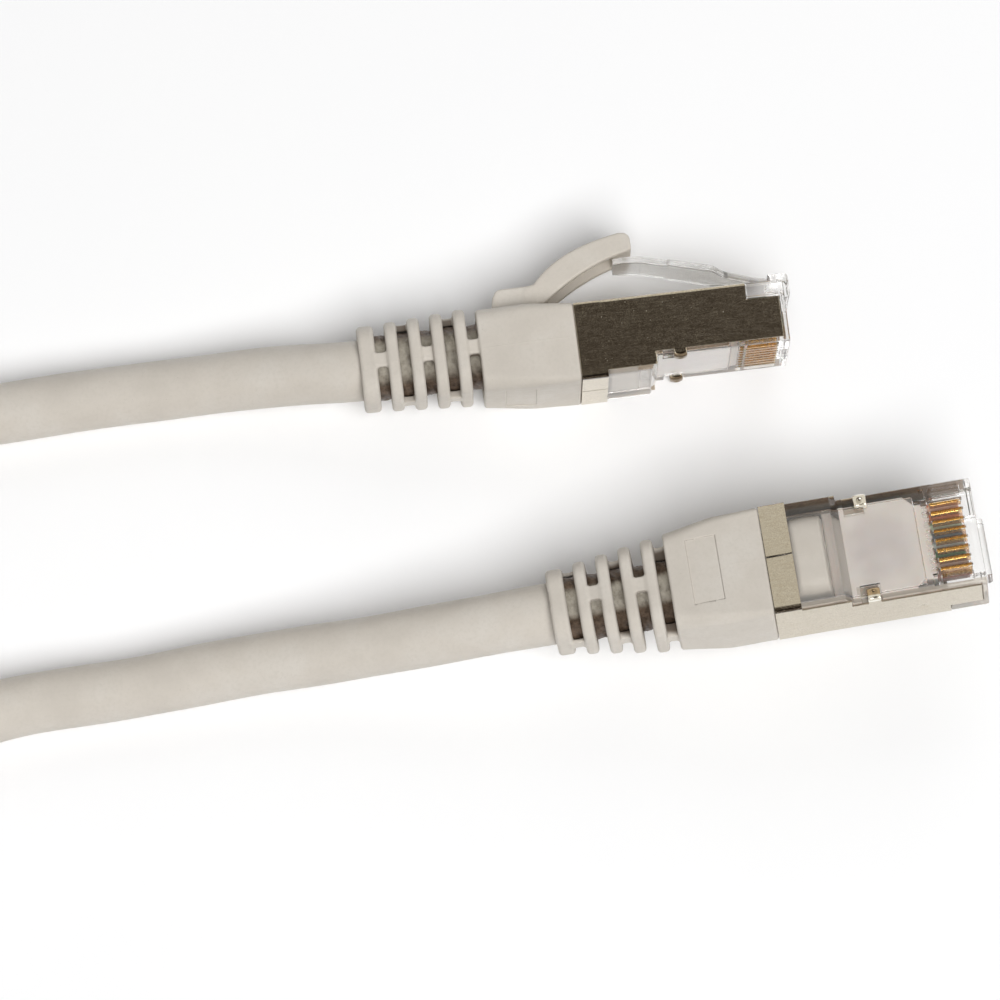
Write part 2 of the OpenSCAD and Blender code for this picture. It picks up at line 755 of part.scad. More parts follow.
module tube(route, first, last, r, sides) {
    n = len(route);
    points = [
        for (i = [0:n - 1]) each ring_points(route[i], way_at(route, i, first, last), r, sides)
    ];
    wall = [
        for (i = [0:n - 2], k = [0:sides - 1])
            let (a = i * sides + k, b = i * sides + (k + 1) % sides)
            each [[a, b, b + sides], [a, b + sides, a + sides]]
    ];
    start_cap = [for (k = [1:sides - 2]) [0, k + 1, k]];
    end = (n - 1) * sides;
    end_cap = [for (k = [1:sides - 2]) [end, end + k, end + k + 1]];
    polyhedron(concat(points), concat(wall, start_cap, end_cap));
}

// The coil: turns spiral in on the lower layer and out again on the upper one
function coil_r(t) = coil_mid_r + coil_pitch * (abs(t - coil_turns / 2) - coil_turns / 4);
function eased(s) = s <= 0 ? 0 : s >= 1 ? 1 : s * s * (3 - 2 * s);
function coil_z(t) = cable_r + coil_layer * eased((t - coil_turns / 2) * 2 + 0.5);
function coil_point(t) = [
    coil_centre.x + coil_r(t) * cos(coil_in_angle + 360 * t),
    coil_centre.y + coil_r(t) * sin(coil_in_angle + 360 * t),
    coil_z(t)
];
coil_in_way = unit(coil_point(0.002) - coil_point(0));
coil_out_way = unit(coil_point(coil_turns) - coil_point(coil_turns - 0.002));
coil_start = coil_point(0) - cable_d * coil_in_way;
coil_finish = coil_point(coil_turns) + cable_d * coil_out_way;
coil_steps = ceil(coil_turns * rings_per_turn);
coil_route = concat(
    [coil_start],
    [for (i = [0:coil_steps]) coil_point(coil_turns * i / coil_steps)],
    [coil_finish]
);

// Least gap between turns: from each point to every run at least half a turn away
function to_run(p, a, b) =
    let (t = max(0, min(1, (p - a) * (b - a) / ((b - a) * (b - a))))) norm(p - a - t * (b - a));
coil_gap = min([
    for (i = [0:len(coil_route) - 1], k = [0:len(coil_route) - 2])
        if (abs(k - i) > rings_per_turn / 2)
            to_run(coil_route[i], coil_route[k], coil_route[k + 1])
]) - cable_d;
echo(least_gap_between_turns = coil_gap);

exit_a = plug_point(plug_a_pose, [-jacket_back, 0, cable_axis_h]);
exit_b = plug_point(plug_b_pose, [-jacket_back, 0, cable_axis_h]);
exit_way_a = turn(plug_a_pose[1], [-1, 0, 0]);
exit_way_b = turn(plug_b_pose[1], [-1, 0, 0]);
full_route_a = concat([exit_a], route_a, [coil_start]);
full_route_b = concat([exit_b], route_b, [coil_finish]);

function run_steps(route) = [for (i = [1:len(route) - 1]) norm(route[i] - route[i - 1])];
function sum(list) = list * [for (n = list) 1];
echo(loose_cable_length = sum(run_steps(full_route_a)) + sum(run_steps(full_route_b))
    + sum(run_steps(coil_route)));
echo(ends = [exit_a, exit_b, coil_start, coil_finish]);

module cable_a() {
    color(jacket_colour) tube(full_route_a, exit_way_a, coil_in_way, cable_r, tube_sides);
}

module cable_coil() {
    color(jacket_colour) tube(coil_route, coil_in_way, coil_out_way, cable_r, coil_sides);
}

module cable_b() {
    color(jacket_colour) tube(full_route_b, exit_way_b, -coil_out_way, cable_r, tube_sides);
}

// ---------------------------------------------------------------- nodes

placed(plug_a_pose) boot();  // plug_a_boot
placed(plug_a_pose) boot_lever();  // plug_a_boot_lever
placed(plug_a_pose) housing();  // plug_a_housing
placed(plug_a_pose) latch();  // plug_a_latch
placed(plug_a_pose) shield();  // plug_a_shield
placed(plug_a_pose) wire_guide();  // plug_a_wire_guide
placed(plug_a_pose) crimp_collar();  // plug_a_crimp_collar
placed(plug_a_pose) screen();  // plug_a_screen
placed(plug_a_pose) jacket_end();  // plug_a_jacket_end

placed(plug_b_pose) boot();  // plug_b_boot
placed(plug_b_pose) boot_lever();  // plug_b_boot_lever
placed(plug_b_pose) housing();  // plug_b_housing
placed(plug_b_pose) latch();  // plug_b_latch
placed(plug_b_pose) shield();  // plug_b_shield
placed(plug_b_pose) wire_guide();  // plug_b_wire_guide
placed(plug_b_pose) crimp_collar();  // plug_b_crimp_collar
placed(plug_b_pose) screen();  // plug_b_screen
placed(plug_b_pose) jacket_end();  // plug_b_jacket_end

for (i = [1:contact_count]) {
    placed(plug_a_pose) contact(i);
    placed(plug_b_pose) contact(i);
    placed(plug_a_pose) wire(i);
    placed(plug_b_pose) wire(i);
}

cable_a();
cable_coil();
cable_b();
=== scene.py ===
"""Shielded ethernet patch cable: looks, light and camera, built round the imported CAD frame."""

import math

import bpy
import numpy as np
from mathutils import Euler, Matrix, Vector


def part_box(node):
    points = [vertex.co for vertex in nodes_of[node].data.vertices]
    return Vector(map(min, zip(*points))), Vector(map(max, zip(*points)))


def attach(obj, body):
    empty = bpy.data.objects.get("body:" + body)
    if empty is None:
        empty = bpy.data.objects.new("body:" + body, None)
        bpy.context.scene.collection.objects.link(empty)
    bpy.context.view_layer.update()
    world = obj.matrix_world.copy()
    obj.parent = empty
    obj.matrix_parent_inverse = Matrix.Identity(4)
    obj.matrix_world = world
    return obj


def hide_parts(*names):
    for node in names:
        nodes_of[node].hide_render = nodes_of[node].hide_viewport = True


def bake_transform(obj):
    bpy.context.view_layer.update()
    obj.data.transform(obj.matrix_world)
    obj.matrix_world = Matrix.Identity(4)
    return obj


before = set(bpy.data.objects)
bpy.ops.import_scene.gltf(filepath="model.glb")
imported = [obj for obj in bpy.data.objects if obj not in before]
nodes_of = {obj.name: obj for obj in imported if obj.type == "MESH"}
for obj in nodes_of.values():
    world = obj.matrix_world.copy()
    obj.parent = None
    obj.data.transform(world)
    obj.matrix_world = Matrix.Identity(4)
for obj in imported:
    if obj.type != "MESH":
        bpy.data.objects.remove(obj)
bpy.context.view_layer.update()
scene = bpy.context.scene


# ---- plug poses (mm, degrees), as in part.scad
POSES = {
    "a": ((11.55, 16.5, 5.85), (90.0, 0.0, 6.9)),
    "b": ((31.55, -11.6, 9.13), (-9.6, -4.3, 9.0)),
}


def plug_matrix(s):
    """From a plug's own frame in mm to the row frame in metres."""
    loc, rot = POSES[s]
    return (Matrix.Translation(Vector(loc) / 1000)
            @ Euler([math.radians(a) for a in rot], "XYZ").to_matrix().to_4x4()
            @ Matrix.Scale(0.001, 4))


PLUG = {s: plug_matrix(s) for s in "ab"}


# ---- sizes in a plug's own frame (mm)
# x is 0 at the nose and below zero towards the cable, y runs across and z up from the shield's floor.
AXIS_Z = 3.1  # height of the cable's axis
SHELL_HALF = 5.84  # half the width over the shield
SHEET_INNER = 5.64  # half the width inside its sheet
HOUSING_HALF = 5.67  # half the width of the clear body
PITCH = 1.02  # between two contacts
LOW_ROW, HIGH_ROW = 3.15, 3.95  # heights of the two rows of wires
TAB_X, TAB_HALF = -11.35, 0.66  # the shield's holding tabs, their middle and half their length
BODY_END = 31.6  # end of the boot's closed body, measured from the nose
RING, RING_GAP, LAST_RING = 1.27, 1.1, 1.75  # lengths of the rings, the gaps before them and the last ring
LEVER_ROOT = (-25.4, -2.0)  # x and z where the release lever bends
LATCH_ROOT = (-1.6, -0.8)  # x and z where the latch bends
LEVER_HALF = 3.0  # half the width of the release lever


# ---- camera
def new_object(name, data):
    obj = bpy.data.objects.new(name, data)
    scene.collection.objects.link(obj)
    return obj


def aim(obj, place, target):
    obj.location = place
    obj.rotation_euler = (Vector(target) - Vector(place)).to_track_quat("-Z", "Y").to_euler()


TARGET = Vector((-0.01732, -0.00419, 0.0))
ELEVATION, DISTANCE = math.radians(77.59), 0.693
cam = bpy.data.cameras.new("camera")
cam.lens, cam.sensor_width = 241.3, 36
cam.clip_start, cam.clip_end = 0.01, 10
camera = new_object("camera", cam)
aim(camera, TARGET + DISTANCE * Vector((0, -math.cos(ELEVATION), math.sin(ELEVATION))), TARGET)
scene.camera = camera


# ---- mesh helpers
def mesh_object(name, verts, faces, smooth=True):
    mesh = bpy.data.meshes.new(name)
    mesh.from_pydata([tuple(v) for v in verts], [], [tuple(f) for f in faces])
    mesh.validate()
    mesh.polygons.foreach_set("use_smooth", [smooth] * len(mesh.polygons))
    return new_object(name, mesh)


# ---- the cable
CABLE_R = 3.1
ROUTE_A = [(-38, 7.9, 5), (-50.5, 6.9, 3.2), (-63, 5.2, 3.1), (-77, 3.4, 3.1),
           (-85, 4.3, 3.1), (-92, 7.2, 3.1)]
ROUTE_B = [(-19.5, -19.2, 8.2), (-31.9, -21, 5.8), (-44, -22.6, 3.9), (-56.2, -24.8, 3.1),
           (-68.7, -27.1, 3.5), (-74.5, -29.4, 4.6), (-80, -32.8, 6.4), (-86, -37.8, 8.4)]
EXIT_X, CORD_X = -44.53, -42.6  # where the cable leaves a boot, and where its mesh starts inside it
COIL_CENTRE, COIL_R, COIL_PITCH, COIL_LAYER = (-124, -20), 33, 6.8, 6.7
COIL_IN, COIL_TURNS = 60, 3 + 255 / 360
COIL_LEAD = 6.2  # straight cable before and after the coil
COIL_STEPS = 134
CORD_STEP, CORD_SIDES = 1.1, 32


def coil_point(t):
    """A place on the coil after t turns: it winds in on the floor, rises, and winds out on top."""
    away = abs(t - COIL_TURNS / 2)
    r = COIL_R + COIL_PITCH * (away - COIL_TURNS / 4)
    s = min(1, max(0, (t - COIL_TURNS / 2) * 2 + 0.5))
    a = math.radians(COIL_IN + 360 * t)
    return Vector((COIL_CENTRE[0] + r * math.cos(a), COIL_CENTRE[1] + r * math.sin(a),
                   CABLE_R + COIL_LAYER * s * s * (3 - 2 * s)))


def on_axis(s, x):
    """A place on the cable's axis in a plug, in row mm."""
    return PLUG[s] @ Vector((x, 0, AXIS_Z)) * 1000


def route_points():
    """Places along the cable in row mm, from inside boot A over the coil to inside boot B."""
    a0, a1 = on_axis("a", CORD_X), on_axis("a", EXIT_X)
    b0, b1 = on_axis("b", CORD_X), on_axis("b", EXIT_X)
    coil_in = (coil_point(0.002) - coil_point(0)).normalized()
    coil_out = (coil_point(COIL_TURNS) - coil_point(COIL_TURNS - 0.002)).normalized()
    points = [a0, a1] + [Vector(p) for p in ROUTE_A]
    points += [coil_point(0) - COIL_LEAD * coil_in]
    points += [coil_point(COIL_TURNS * i / COIL_STEPS) for i in range(COIL_STEPS + 1)]
    points += [coil_point(COIL_TURNS) + COIL_LEAD * coil_out]
    points += [Vector(p) for p in reversed(ROUTE_B)] + [b1, b0]
    return points


def smooth_path(points, step):
    """Even points along a natural cubic spline through the given ones."""
    p = np.array([tuple(v) for v in points])
    n = len(p)
    t = np.concatenate([[0], np.cumsum(np.linalg.norm(np.diff(p, axis=0), axis=1))])
    h = np.diff(t)
    a = np.zeros((n, n))
    r = np.zeros((n, 3))
    a[0, 0] = a[-1, -1] = 1
    for i in range(1, n - 1):
        a[i, i - 1:i + 2] = h[i - 1], 2 * (h[i - 1] + h[i]), h[i]
        r[i] = 6 * ((p[i + 1] - p[i]) / h[i] - (p[i] - p[i - 1]) / h[i - 1])
    m = np.linalg.solve(a, r)
    u = np.linspace(0, t[-1], int(t[-1] / 0.25) + 1)
    k = np.clip(np.searchsorted(t, u, side="right") - 1, 0, n - 2)
    hk, d0, d1 = h[k, None], (t[k + 1] - u)[:, None], (u - t[k])[:, None]
    q = (m[k] * d0 ** 3 + m[k + 1] * d1 ** 3) / (6 * hk)
    q += (p[k] / hk - m[k] * hk / 6) * d0 + (p[k + 1] / hk - m[k + 1] * hk / 6) * d1
    along = np.concatenate([[0], np.cumsum(np.linalg.norm(np.diff(q, axis=0), axis=1))])
    want = np.linspace(0, along[-1], int(along[-1] / step) + 1)
    return np.stack([np.interp(want, along, q[:, c]) for c in range(3)], axis=1), want


def tube_faces(n, sides, turned=False):
    """Quads between n rings of points, with a cap at each end; turned, for rings that run the other way."""
    quads = [(i * sides + k, i * sides + (k + 1) % sides,
              (i + 1) * sides + (k + 1) % sides, (i + 1) * sides + k)
             for i in range(n - 1) for k in range(sides)]
    caps = [tuple(range(sides - 1, -1, -1)), tuple(range((n - 1) * sides, n * sides))]
    if turned:
        return [(a, d, c, b) for a, b, c, d in quads] + [cap[::-1] for cap in caps]
    return quads + caps


def tube_mesh(name, path, along, sides, radius):
    """A closed tube; radius(s, angle) gives its radius in mm at a length and an angle."""
    way = np.gradient(path, axis=0)
    way /= np.linalg.norm(way, axis=1)[:, None]
    side = np.cross(way, [0, 0, 1.0])
    side /= np.linalg.norm(side, axis=1)[:, None]
    over = np.cross(side, way)
    ang = 2 * math.pi * np.arange(sides) / sides
    rad = radius(along[:, None], ang[None, :])
    ring = (np.cos(ang)[None, :, None] * side[:, None] + np.sin(ang)[None, :, None] * over[:, None])
    verts = (path[:, None] + ring * rad[..., None]).reshape(-1, 3) / 1000
    return mesh_object(name, verts, tube_faces(len(path), sides))


def cable_radius(s, a):
    """The twisted pairs inside leave the jacket very slightly uneven."""
    lay = 2 * math.pi * s / 46
    return (CABLE_R + 0.012 + 0.018 * np.sin(4 * (a - lay))
            + 0.022 * np.sin(2 * math.pi * s / 31 + 2 * a) + 0.012 * np.sin(2 * math.pi * s / 12.7 + 1.3))


cord_path, cord_s = smooth_path(route_points(), CORD_STEP)
cable = tube_mesh("cable_jacket", cord_path, cord_s, CORD_SIDES, cable_radius)
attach(cable, "cable")
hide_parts("cable_a", "cable_coil", "cable_b")


# ---- solids from distance fields
# A form is a function of (n, 3) points in a plug's own frame in mm that gives the distance to its surface,
# below zero inside. solid_mesh() turns one into a mesh, and placed() gives it the form's exact normals.
def near(a, b, k):
    """Smooth union: joins two distances with a fillet of about k."""
    if k <= 0:
        return np.minimum(a, b)
    h = np.maximum(k - np.abs(a - b), 0) / k
    return np.minimum(a, b) - h * h * k / 4


def far(a, b, k):
    """Smooth intersection, with a rounded edge of about k."""
    return -near(-a, -b, k)


def corner(a, b, r):
    """Where two distances meet at right angles, rounded by r."""
    return np.minimum(np.maximum(a, b), 0) + np.hypot(np.maximum(a, 0), np.maximum(b, 0)) - r


def box2(u, v, half_u, half_v, r):
    """Distance to a rectangle round the origin, with corners rounded by r."""
    return corner(np.abs(u) - (half_u - r), np.abs(v) - (half_v - r), r)


def swept(d, w, low, high, r):
    """A profile's distance d, carried along w from low to high, with edges rounded by r."""
    return corner(d + r, np.abs(w - (low + high) / 2) - (high - low) / 2 + r, r)


def block(p, low, high, r=0.0):
    """A box between two corners, with edges rounded by r."""
    q = [np.abs(p[:, c] - (low[c] + high[c]) / 2) - (high[c] - low[c]) / 2 + r for c in range(3)]
    outside = np.sqrt(sum(np.maximum(k, 0) ** 2 for k in q))
    return np.minimum(np.maximum(np.maximum(q[0], q[1]), q[2]), 0) + outside - r


def outline(u, v, points):
    """Exact distance to a closed outline."""
    d = np.full(u.shape, 1e9, dtype=u.dtype)
    inside = np.zeros(u.shape, dtype=bool)
    for (x0, y0), (x1, y1) in zip(points, points[1:] + points[:1]):
        ex, ey = x1 - x0, y1 - y0
        if ex * ex + ey * ey < 1e-12:
            continue
        t = np.clip(((u - x0) * ex + (v - y0) * ey) / (ex * ex + ey * ey), 0, 1)
        d = np.minimum(d, np.hypot(u - x0 - t * ex, v - y0 - t * ey))
        cross = (y0 > v) != (y1 > v)
        with np.errstate(divide="ignore", invalid="ignore"):
            side = u < (ex * (v - y0) / (ey if ey else 1e-9) + x0)
        inside ^= cross & side
    return np.where(inside, -d, d)


def bezier(p, steps):
    """Points along a cubic curve in a plane."""
    out = []
    for i in range(steps + 1):
        t = i / steps
        w = ((1 - t) ** 3, 3 * t * (1 - t) ** 2, 3 * t * t * (1 - t), t ** 3)
        out.append(tuple(sum(w[k] * p[k][c] for k in range(4)) for c in (0, 1)))
    return out


def surface_nets(field, low, high, step):
    """Quads on the zero surface of a field inside a box."""
    axes = [np.arange(low[c] - 2 * step, high[c] + 2.5 * step, step, dtype=np.float32) for c in range(3)]
    n = [len(a) for a in axes]
    f = np.empty(n, dtype=np.float32)
    # first a rough grid, one value for each block of points, then exact values near the surface
    wide = 5
    mids = [a[0] + (np.arange(-(-len(a) // wide), dtype=np.float32) * wide + (wide - 1) / 2) * step
            for a in axes]
    centres = np.stack(np.meshgrid(*mids, indexing="ij"), axis=-1)
    rough = field(centres.reshape(-1, 3)).reshape(centres.shape[:3])
    grow = lambda a: a.repeat(wide, 0).repeat(wide, 1).repeat(wide, 2)[:n[0], :n[1], :n[2]]
    f[:] = grow(rough)
    wanted = np.argwhere(grow(np.abs(rough) < 0.5 * wide * step * 1.75 + 0.12))
    for i in range(0, len(wanted), 300000):
        part = wanted[i:i + 300000]
        p = np.stack([axes[c][part[:, c]] for c in range(3)], axis=1)
        f[tuple(part.T)] = field(p)
    # one vertex in each cell that the surface cuts, at the mean of the places where it cuts its edges
    s = f < 0
    cut = [slice(0, -1), slice(1, None)]
    corners = [s[cut[a], cut[b], cut[c]] for a in (0, 1) for b in (0, 1) for c in (0, 1)]
    active = np.logical_or.reduce(corners) & ~np.logical_and.reduce(corners)
    cells = np.argwhere(active)
    index = np.full(active.shape, -1, dtype=np.int64)
    index[active] = np.arange(len(cells))
    total, count = np.zeros((len(cells), 3)), np.zeros(len(cells))
    unit = np.eye(3, dtype=int)
    for axis in range(3):
        u, v = (unit[c] for c in range(3) if c != axis)
        for corner in (0 * u, v, u, u + v):
            ca, cb = cells + corner, cells + corner + unit[axis]
            fa, fb = f[tuple(ca.T)], f[tuple(cb.T)]
            hit = (fa < 0) != (fb < 0)
            t = np.where(hit, fa / np.where(hit, fa - fb, 1), 0)
            place = ca + t[:, None] * (cb - ca)
            total[hit] += place[hit]
            count[hit] += 1
    verts = total / count[:, None] * step + np.array([a[0] for a in axes])
    # one quad for each edge of the grid that the surface cuts
    quads = []
    for axis in range(3):
        o = [c for c in range(3) if c != axis]
        u, v = unit[o[0]], unit[o[1]]
        sa = s.take(range(n[axis] - 1), axis)
        e = np.argwhere(sa != s.take(range(1, n[axis]), axis))
        e = e[(e[:, o[0]] > 0) & (e[:, o[1]] > 0)
              & (e[:, o[0]] < n[o[0]] - 1) & (e[:, o[1]] < n[o[1]] - 1)]
        inside_first = sa[tuple(e.T)]
        q = np.stack([index[tuple((e - u - v).T)], index[tuple((e - v).T)], index[tuple(e.T)],
                      index[tuple((e - u).T)]], axis=1)
        flip = inside_first if axis != 1 else ~inside_first
        q[~flip] = q[~flip][:, ::-1]
        quads.append(q)
    return verts, np.concatenate(quads)


def slope(field, p, h=0.012):
    """The field's gradient, by central differences."""
    g = np.empty_like(p)
    for c in range(3):
        d = np.zeros(3)
        d[c] = h
        g[:, c] = (field(p + d) - field(p - d)) / (2 * h)
    return g


def settle(field, p, most):
    """Moves points onto the surface, each by no more than most."""
    start = p.copy()
    for _ in range(2):
        g = slope(field, p)
        p = p - g * (field(p) / np.maximum((g * g).sum(axis=1), 0.05))[:, None]
        away = p - start
        size = np.linalg.norm(away, axis=1)
        p = start + away * np.minimum(1, most / np.maximum(size, 1e-9))[:, None]
    return p


def coords(mesh):
    out = np.empty(len(mesh.vertices) * 3)
    mesh.vertices.foreach_get("co", out)
    return out.reshape(-1, 3)


def solid_mesh(name, field, low, high, step, keep):
    """A mesh in plug mm of a field, thinned to the share keep of its faces where it is flat."""
    step = step * 1
    verts, quads = surface_nets(field, low, high, step)
    full = bpy.data.meshes.new(name + "_full")
    full.from_pydata(settle(field, verts, step).tolist(), [], quads.tolist())
    obj = new_object(name + "_thin", full)
    obj.modifiers.new("thin", "DECIMATE").ratio = keep
    done = obj.evaluated_get(bpy.context.evaluated_depsgraph_get())
    mesh = bpy.data.meshes.new_from_object(done)
    bpy.data.objects.remove(obj)
    bpy.data.meshes.remove(full)
    mesh.name = name
    mesh.vertices.foreach_set("co", settle(field, coords(mesh), step / 2).ravel())
    return mesh


def placed(name, mesh, s, field):
    """A plug's own copy of a mesh in plug mm, moved into the row frame, its normals taken from the field."""
    data = mesh.copy()
    data.name = name
    normals = slope(field, coords(data))
    normals /= np.maximum(np.linalg.norm(normals, axis=1), 1e-9)[:, None]
    turn = np.array(PLUG[s].to_3x3()) * 1000
    data.transform(PLUG[s])
    data.polygons.foreach_set("use_smooth", [True] * len(data.polygons))
    data.normals_split_custom_set_from_vertices((normals @ turn.T).tolist())
    data.update()
    return new_object(name, data)


def declare(obj, body, node):
    """Hides the CAD node a piece replaces, and hangs the piece on the empty of the body it rides on."""
    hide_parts(node)
    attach(obj, body)
    return obj


# ---- boot and release lever, one soft moulding
def ring_sizes(n):
    """Ring n of 1 to 5: its start and end from the nose, its width and its height."""
    start = BODY_END + n * RING_GAP + (n - 1) * RING
    end = start + (LAST_RING if n == 5 else RING)
    return start, end, 10.6 - 2.8 * (n - 1) / 4, 8.9 - 0.5 * (n - 1) / 4


RINGS = [ring_sizes(n) for n in range(1, 6)]
LEVER_OUT = [(-25.4, -3.0), (-23.5, -5.2), (-21, -6.7), (-16, -7.55)]
LEVER_IN = [(-24.4, -1.05), (-22.6, -2.4), (-19.6, -4.6), (-15.2, -5.5)]
LEVER_SIDE = (bezier(LEVER_OUT, 14) + [(-15.3, -7.5), (-14.95, -7.2), (-14.8, -6.8), (-14.8, -5.7)]
              + bezier(LEVER_IN, 14)[::-1] + [(-25.4, -1.0)])
# the hollow under the lever's hook, and the block that carries the lever, both seen from the side
ROOF = [(-23.9, -4.0), (-22.7, -4.75), (-21.2, -5.55), (-19.2, -6.1), (-16.8, -6.42),
        (-16.8, -2.0), (-23.9, 0.5)]
ROOT_BLOCK = [(-30.2, 0.3), (-29.6, -2.25), (-29.25, -2.85), (-28.8, -3.05), (-26.0, -3.05),
              (-25.4, -3.0), (-24.9, -2.0), (-25.2, 0.3)]
MOUTH_X, SWELL = -21.6, 4.7  # the body swells behind its mouth over this length
TAPER_X, TAPER = -26.3, 5.3  # and then it tapers to the rings


def boot_body(p):
    """The closed body of the boot."""
    x, y, z = p.T
    t1 = np.clip((MOUTH_X - x) / SWELL, 0, 1)
    t2 = np.clip((TAPER_X - x) / TAPER, 0, 1)
    t2 = t2 * t2 * (3 - 2 * t2) * 0.35 + t2 * 0.65
    half_w = 5.85 - 0.6 * t2
    low = -0.1 - 0.6 * t1 - 0.2 * t2
    high = 8.15 - 0.05 * t1 - 0.4 * t2
    r = 0.6 + 0.5 * t1 + 0.6 * t2
    d = box2(y, z - (low + high) / 2, half_w, (high - low) / 2, r)
    return swept(d, x, -BODY_END, -21.61, 0.28)


def lever_form(p):
    """The curved hollow hook."""
    x, y, z = p.T
    d = swept(outline(x, z, LEVER_SIDE), y, -LEVER_HALF, LEVER_HALF, 0.28)
    knuckle = np.hypot(x - LEVER_ROOT[0], z - LEVER_ROOT[1]) - 1.0
    d = near(d, swept(knuckle, y, -LEVER_HALF, LEVER_HALF, 0.25), 0.3)
    hollow = swept(outline(x, z, ROOF), y, -2.1, 2.1, 0.25)
    return far(d, -hollow, 0.2)


def moulding(p):
    """Boot, rings, links and lever in one. Odd rings have links at their sides, even ones above and below."""
    x, y, z = p.T
    d = boot_body(p)
    for n, (a, b, w, h) in enumerate(RINGS, 1):
        ring = swept(box2(y, z - AXIS_Z, w / 2, h / 2, 2.6), x, -b, -a, 0.42)
        half_w = min(w, 10.5 if n == 1 else RINGS[n - 2][2]) / 2 - (0.35 if n < 5 else 0.05)
        if n % 2:
            low, high = (-half_w, 2.35), (half_w, 3.85)
        else:
            low, high = (-0.75, AXIS_Z - h / 2 + 0.15), (0.75, AXIS_Z + h / 2 - 0.15)
        link = block(p, (-a - 0.3, *low), (-a + 1.4, *high), 0.12)
        d = near(near(d, ring, 0.0), link, 0.35)
    d = near(d, swept(outline(x, z, ROOT_BLOCK), y, -LEVER_HALF, LEVER_HALF, 0.3), 0.45)
    d = near(d, lever_form(p), 0.35)
    # room inside for the round cable behind and the flattened one in front
    bore = np.maximum(np.hypot(y, z - AXIS_Z) - 3.5, x + 27.9)
    flat = np.maximum(box2(y, z - AXIS_Z, 4.8, 2.75, 1.9), np.abs(x + 24.3) - 3.8)
    d = far(d, -np.minimum(bore, flat), 0.15)
    # the shallow panel on top
    top = 8.1 - 0.4 * np.clip((TAPER_X - x) / TAPER, 0, 1)
    recess = np.maximum(np.maximum(np.abs(x + 27.82) - 1.53, np.abs(y - 0.1) - 3.5), top - 0.13 - z)
    return far(d, -recess, 0.1)


BOOT_STEP, BOOT_KEEP = 0.15, 0.4
boot_mesh = solid_mesh("boot_form", moulding, (-44.0, -5.95, -7.7), (-14.7, 5.95, 8.25),
                       BOOT_STEP, BOOT_KEEP)
boots = {}
for s in "ab":
    o = placed(f"plug_{s}_moulding", boot_mesh, s, moulding)
    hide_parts(f"plug_{s}_boot", f"plug_{s}_boot_lever")
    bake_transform(o)
    boots[s] = o


# ---- clear plug body and latch
HOUSING_SIDE = [(0.0, 0.25), (-21.5, 0.25), (-21.5, 7.85), (-14.35, 7.85), (-13.55, 6.5), (0.0, 6.5)]
LUG_SIDE = [(-1.62, -1.25), (0.4, -1.25), (0.62, -1.18), (0.74, -1.02), (0.8, -0.85), (0.8, 1.0),
            (0.72, 1.24), (0.58, 1.36), (0.4, 1.4), (-0.2, 1.4), (-0.2, 1.0), (-1.62, 0.9)]


def rows(p):
    """Distances across the two rows of contacts and wires."""
    y = p[:, 1]
    for first in (0.5, 1.5):
        k = np.clip(np.round((y / PITCH - first) / 2), -2, 1)
        yield y - (2 * k + first) * PITCH


def housing_form(p):
    """The clear body with its nose plate, shoulders and lug."""
    x, y, z = p.T
    d = swept(outline(x, z, HOUSING_SIDE), y, -HOUSING_HALF, HOUSING_HALF, 0.1)
    d = far(d, box2(y, z - 5.25, HOUSING_HALF, 5.0, 0.42), 0.0)
    plate = swept(box2(y, z - 3.25, SHELL_HALF, 3.25, 0.5), x, -0.55, 0.0, 0.13)
    shoulder = swept(box2(y, z - 2.0, SHELL_HALF, 2.0, 0.5), x, -3.85, -0.3, 0.08)
    d = near(near(d, plate, 0.12), far(shoulder, z - 1.75, 0.12), 0.1)
    lug = swept(outline(x, z, LUG_SIDE), y, -3.1, 3.1, 0.12)
    lug = far(lug, 0.5 - np.hypot(x - LATCH_ROOT[0], z - LATCH_ROOT[1]), 0.06)
    d = near(d, lug, 0.12)
    # chamber for the load bar, bores, blade slots, comb, wells and tab pockets
    d = far(d, -block(p, (-22.5, -4.85, 1.1), (-5.95, 4.85, 5.8), 0.18), 0.08)
    for across in rows(p):
        slot = np.maximum(np.maximum(np.abs(across) - 0.13, np.abs(x + 2.8) - 1.65), 5.0 - z)
        d = far(d, -slot, 0.03)
        hole = np.maximum(box2(across, x + 5.0, 0.25, 0.3, 0.08), 5.5 - z)
        d = far(d, -hole, 0.05)
    half = np.stack([x, np.abs(y), z], axis=1)
    d = far(d, -block(half, (-5.3, 4.1, 6.05), (-4.75, 5.25, 8), 0.05), 0.05)
    d = far(d, -block(half, (-4.4, 4.2, 5.55), (-1.2, 5.2, 8), 0.08), 0.06)
    half = np.stack([x - np.where(y > 0, 0.0, 0.3), np.abs(y), z], axis=1)
    return far(d, -block(half, (-13.05, 3.9, 6.02), (-11.0, 7, 8), 0.06), 0.08)


# the latch from the side, out along its face and back along its inner side, and from above
LATCH_SIDE = [(-1.6, -1.25), (-3.2, -1.7), (-5.2, -2.35), (-7.0, -3.0), (-14.0, -4.85), (-15.9, -5.0),
              (-16.9, -5.04), (-16.9, -4.36), (-15.9, -4.3), (-14.0, -4.125), (-7.0, -2.275),
              (-5.2, -1.625), (-3.2, -0.975), (-1.6, -0.35)]
LATCH_PLAN = ([(-1.15, 1.62)] + [(-5.2 - 1.8 * i / 8, 1.625 + 1.475 * (1 - math.cos(math.pi * i / 8)) / 2)
                                 for i in range(9)]
              + [(-11.3, 3.1), (-11.35, 2.7), (-15.9, 2.7), (-16.9, 2.1)])
LATCH_PLAN = LATCH_PLAN + [(x, -y) for x, y in reversed(LATCH_PLAN)]


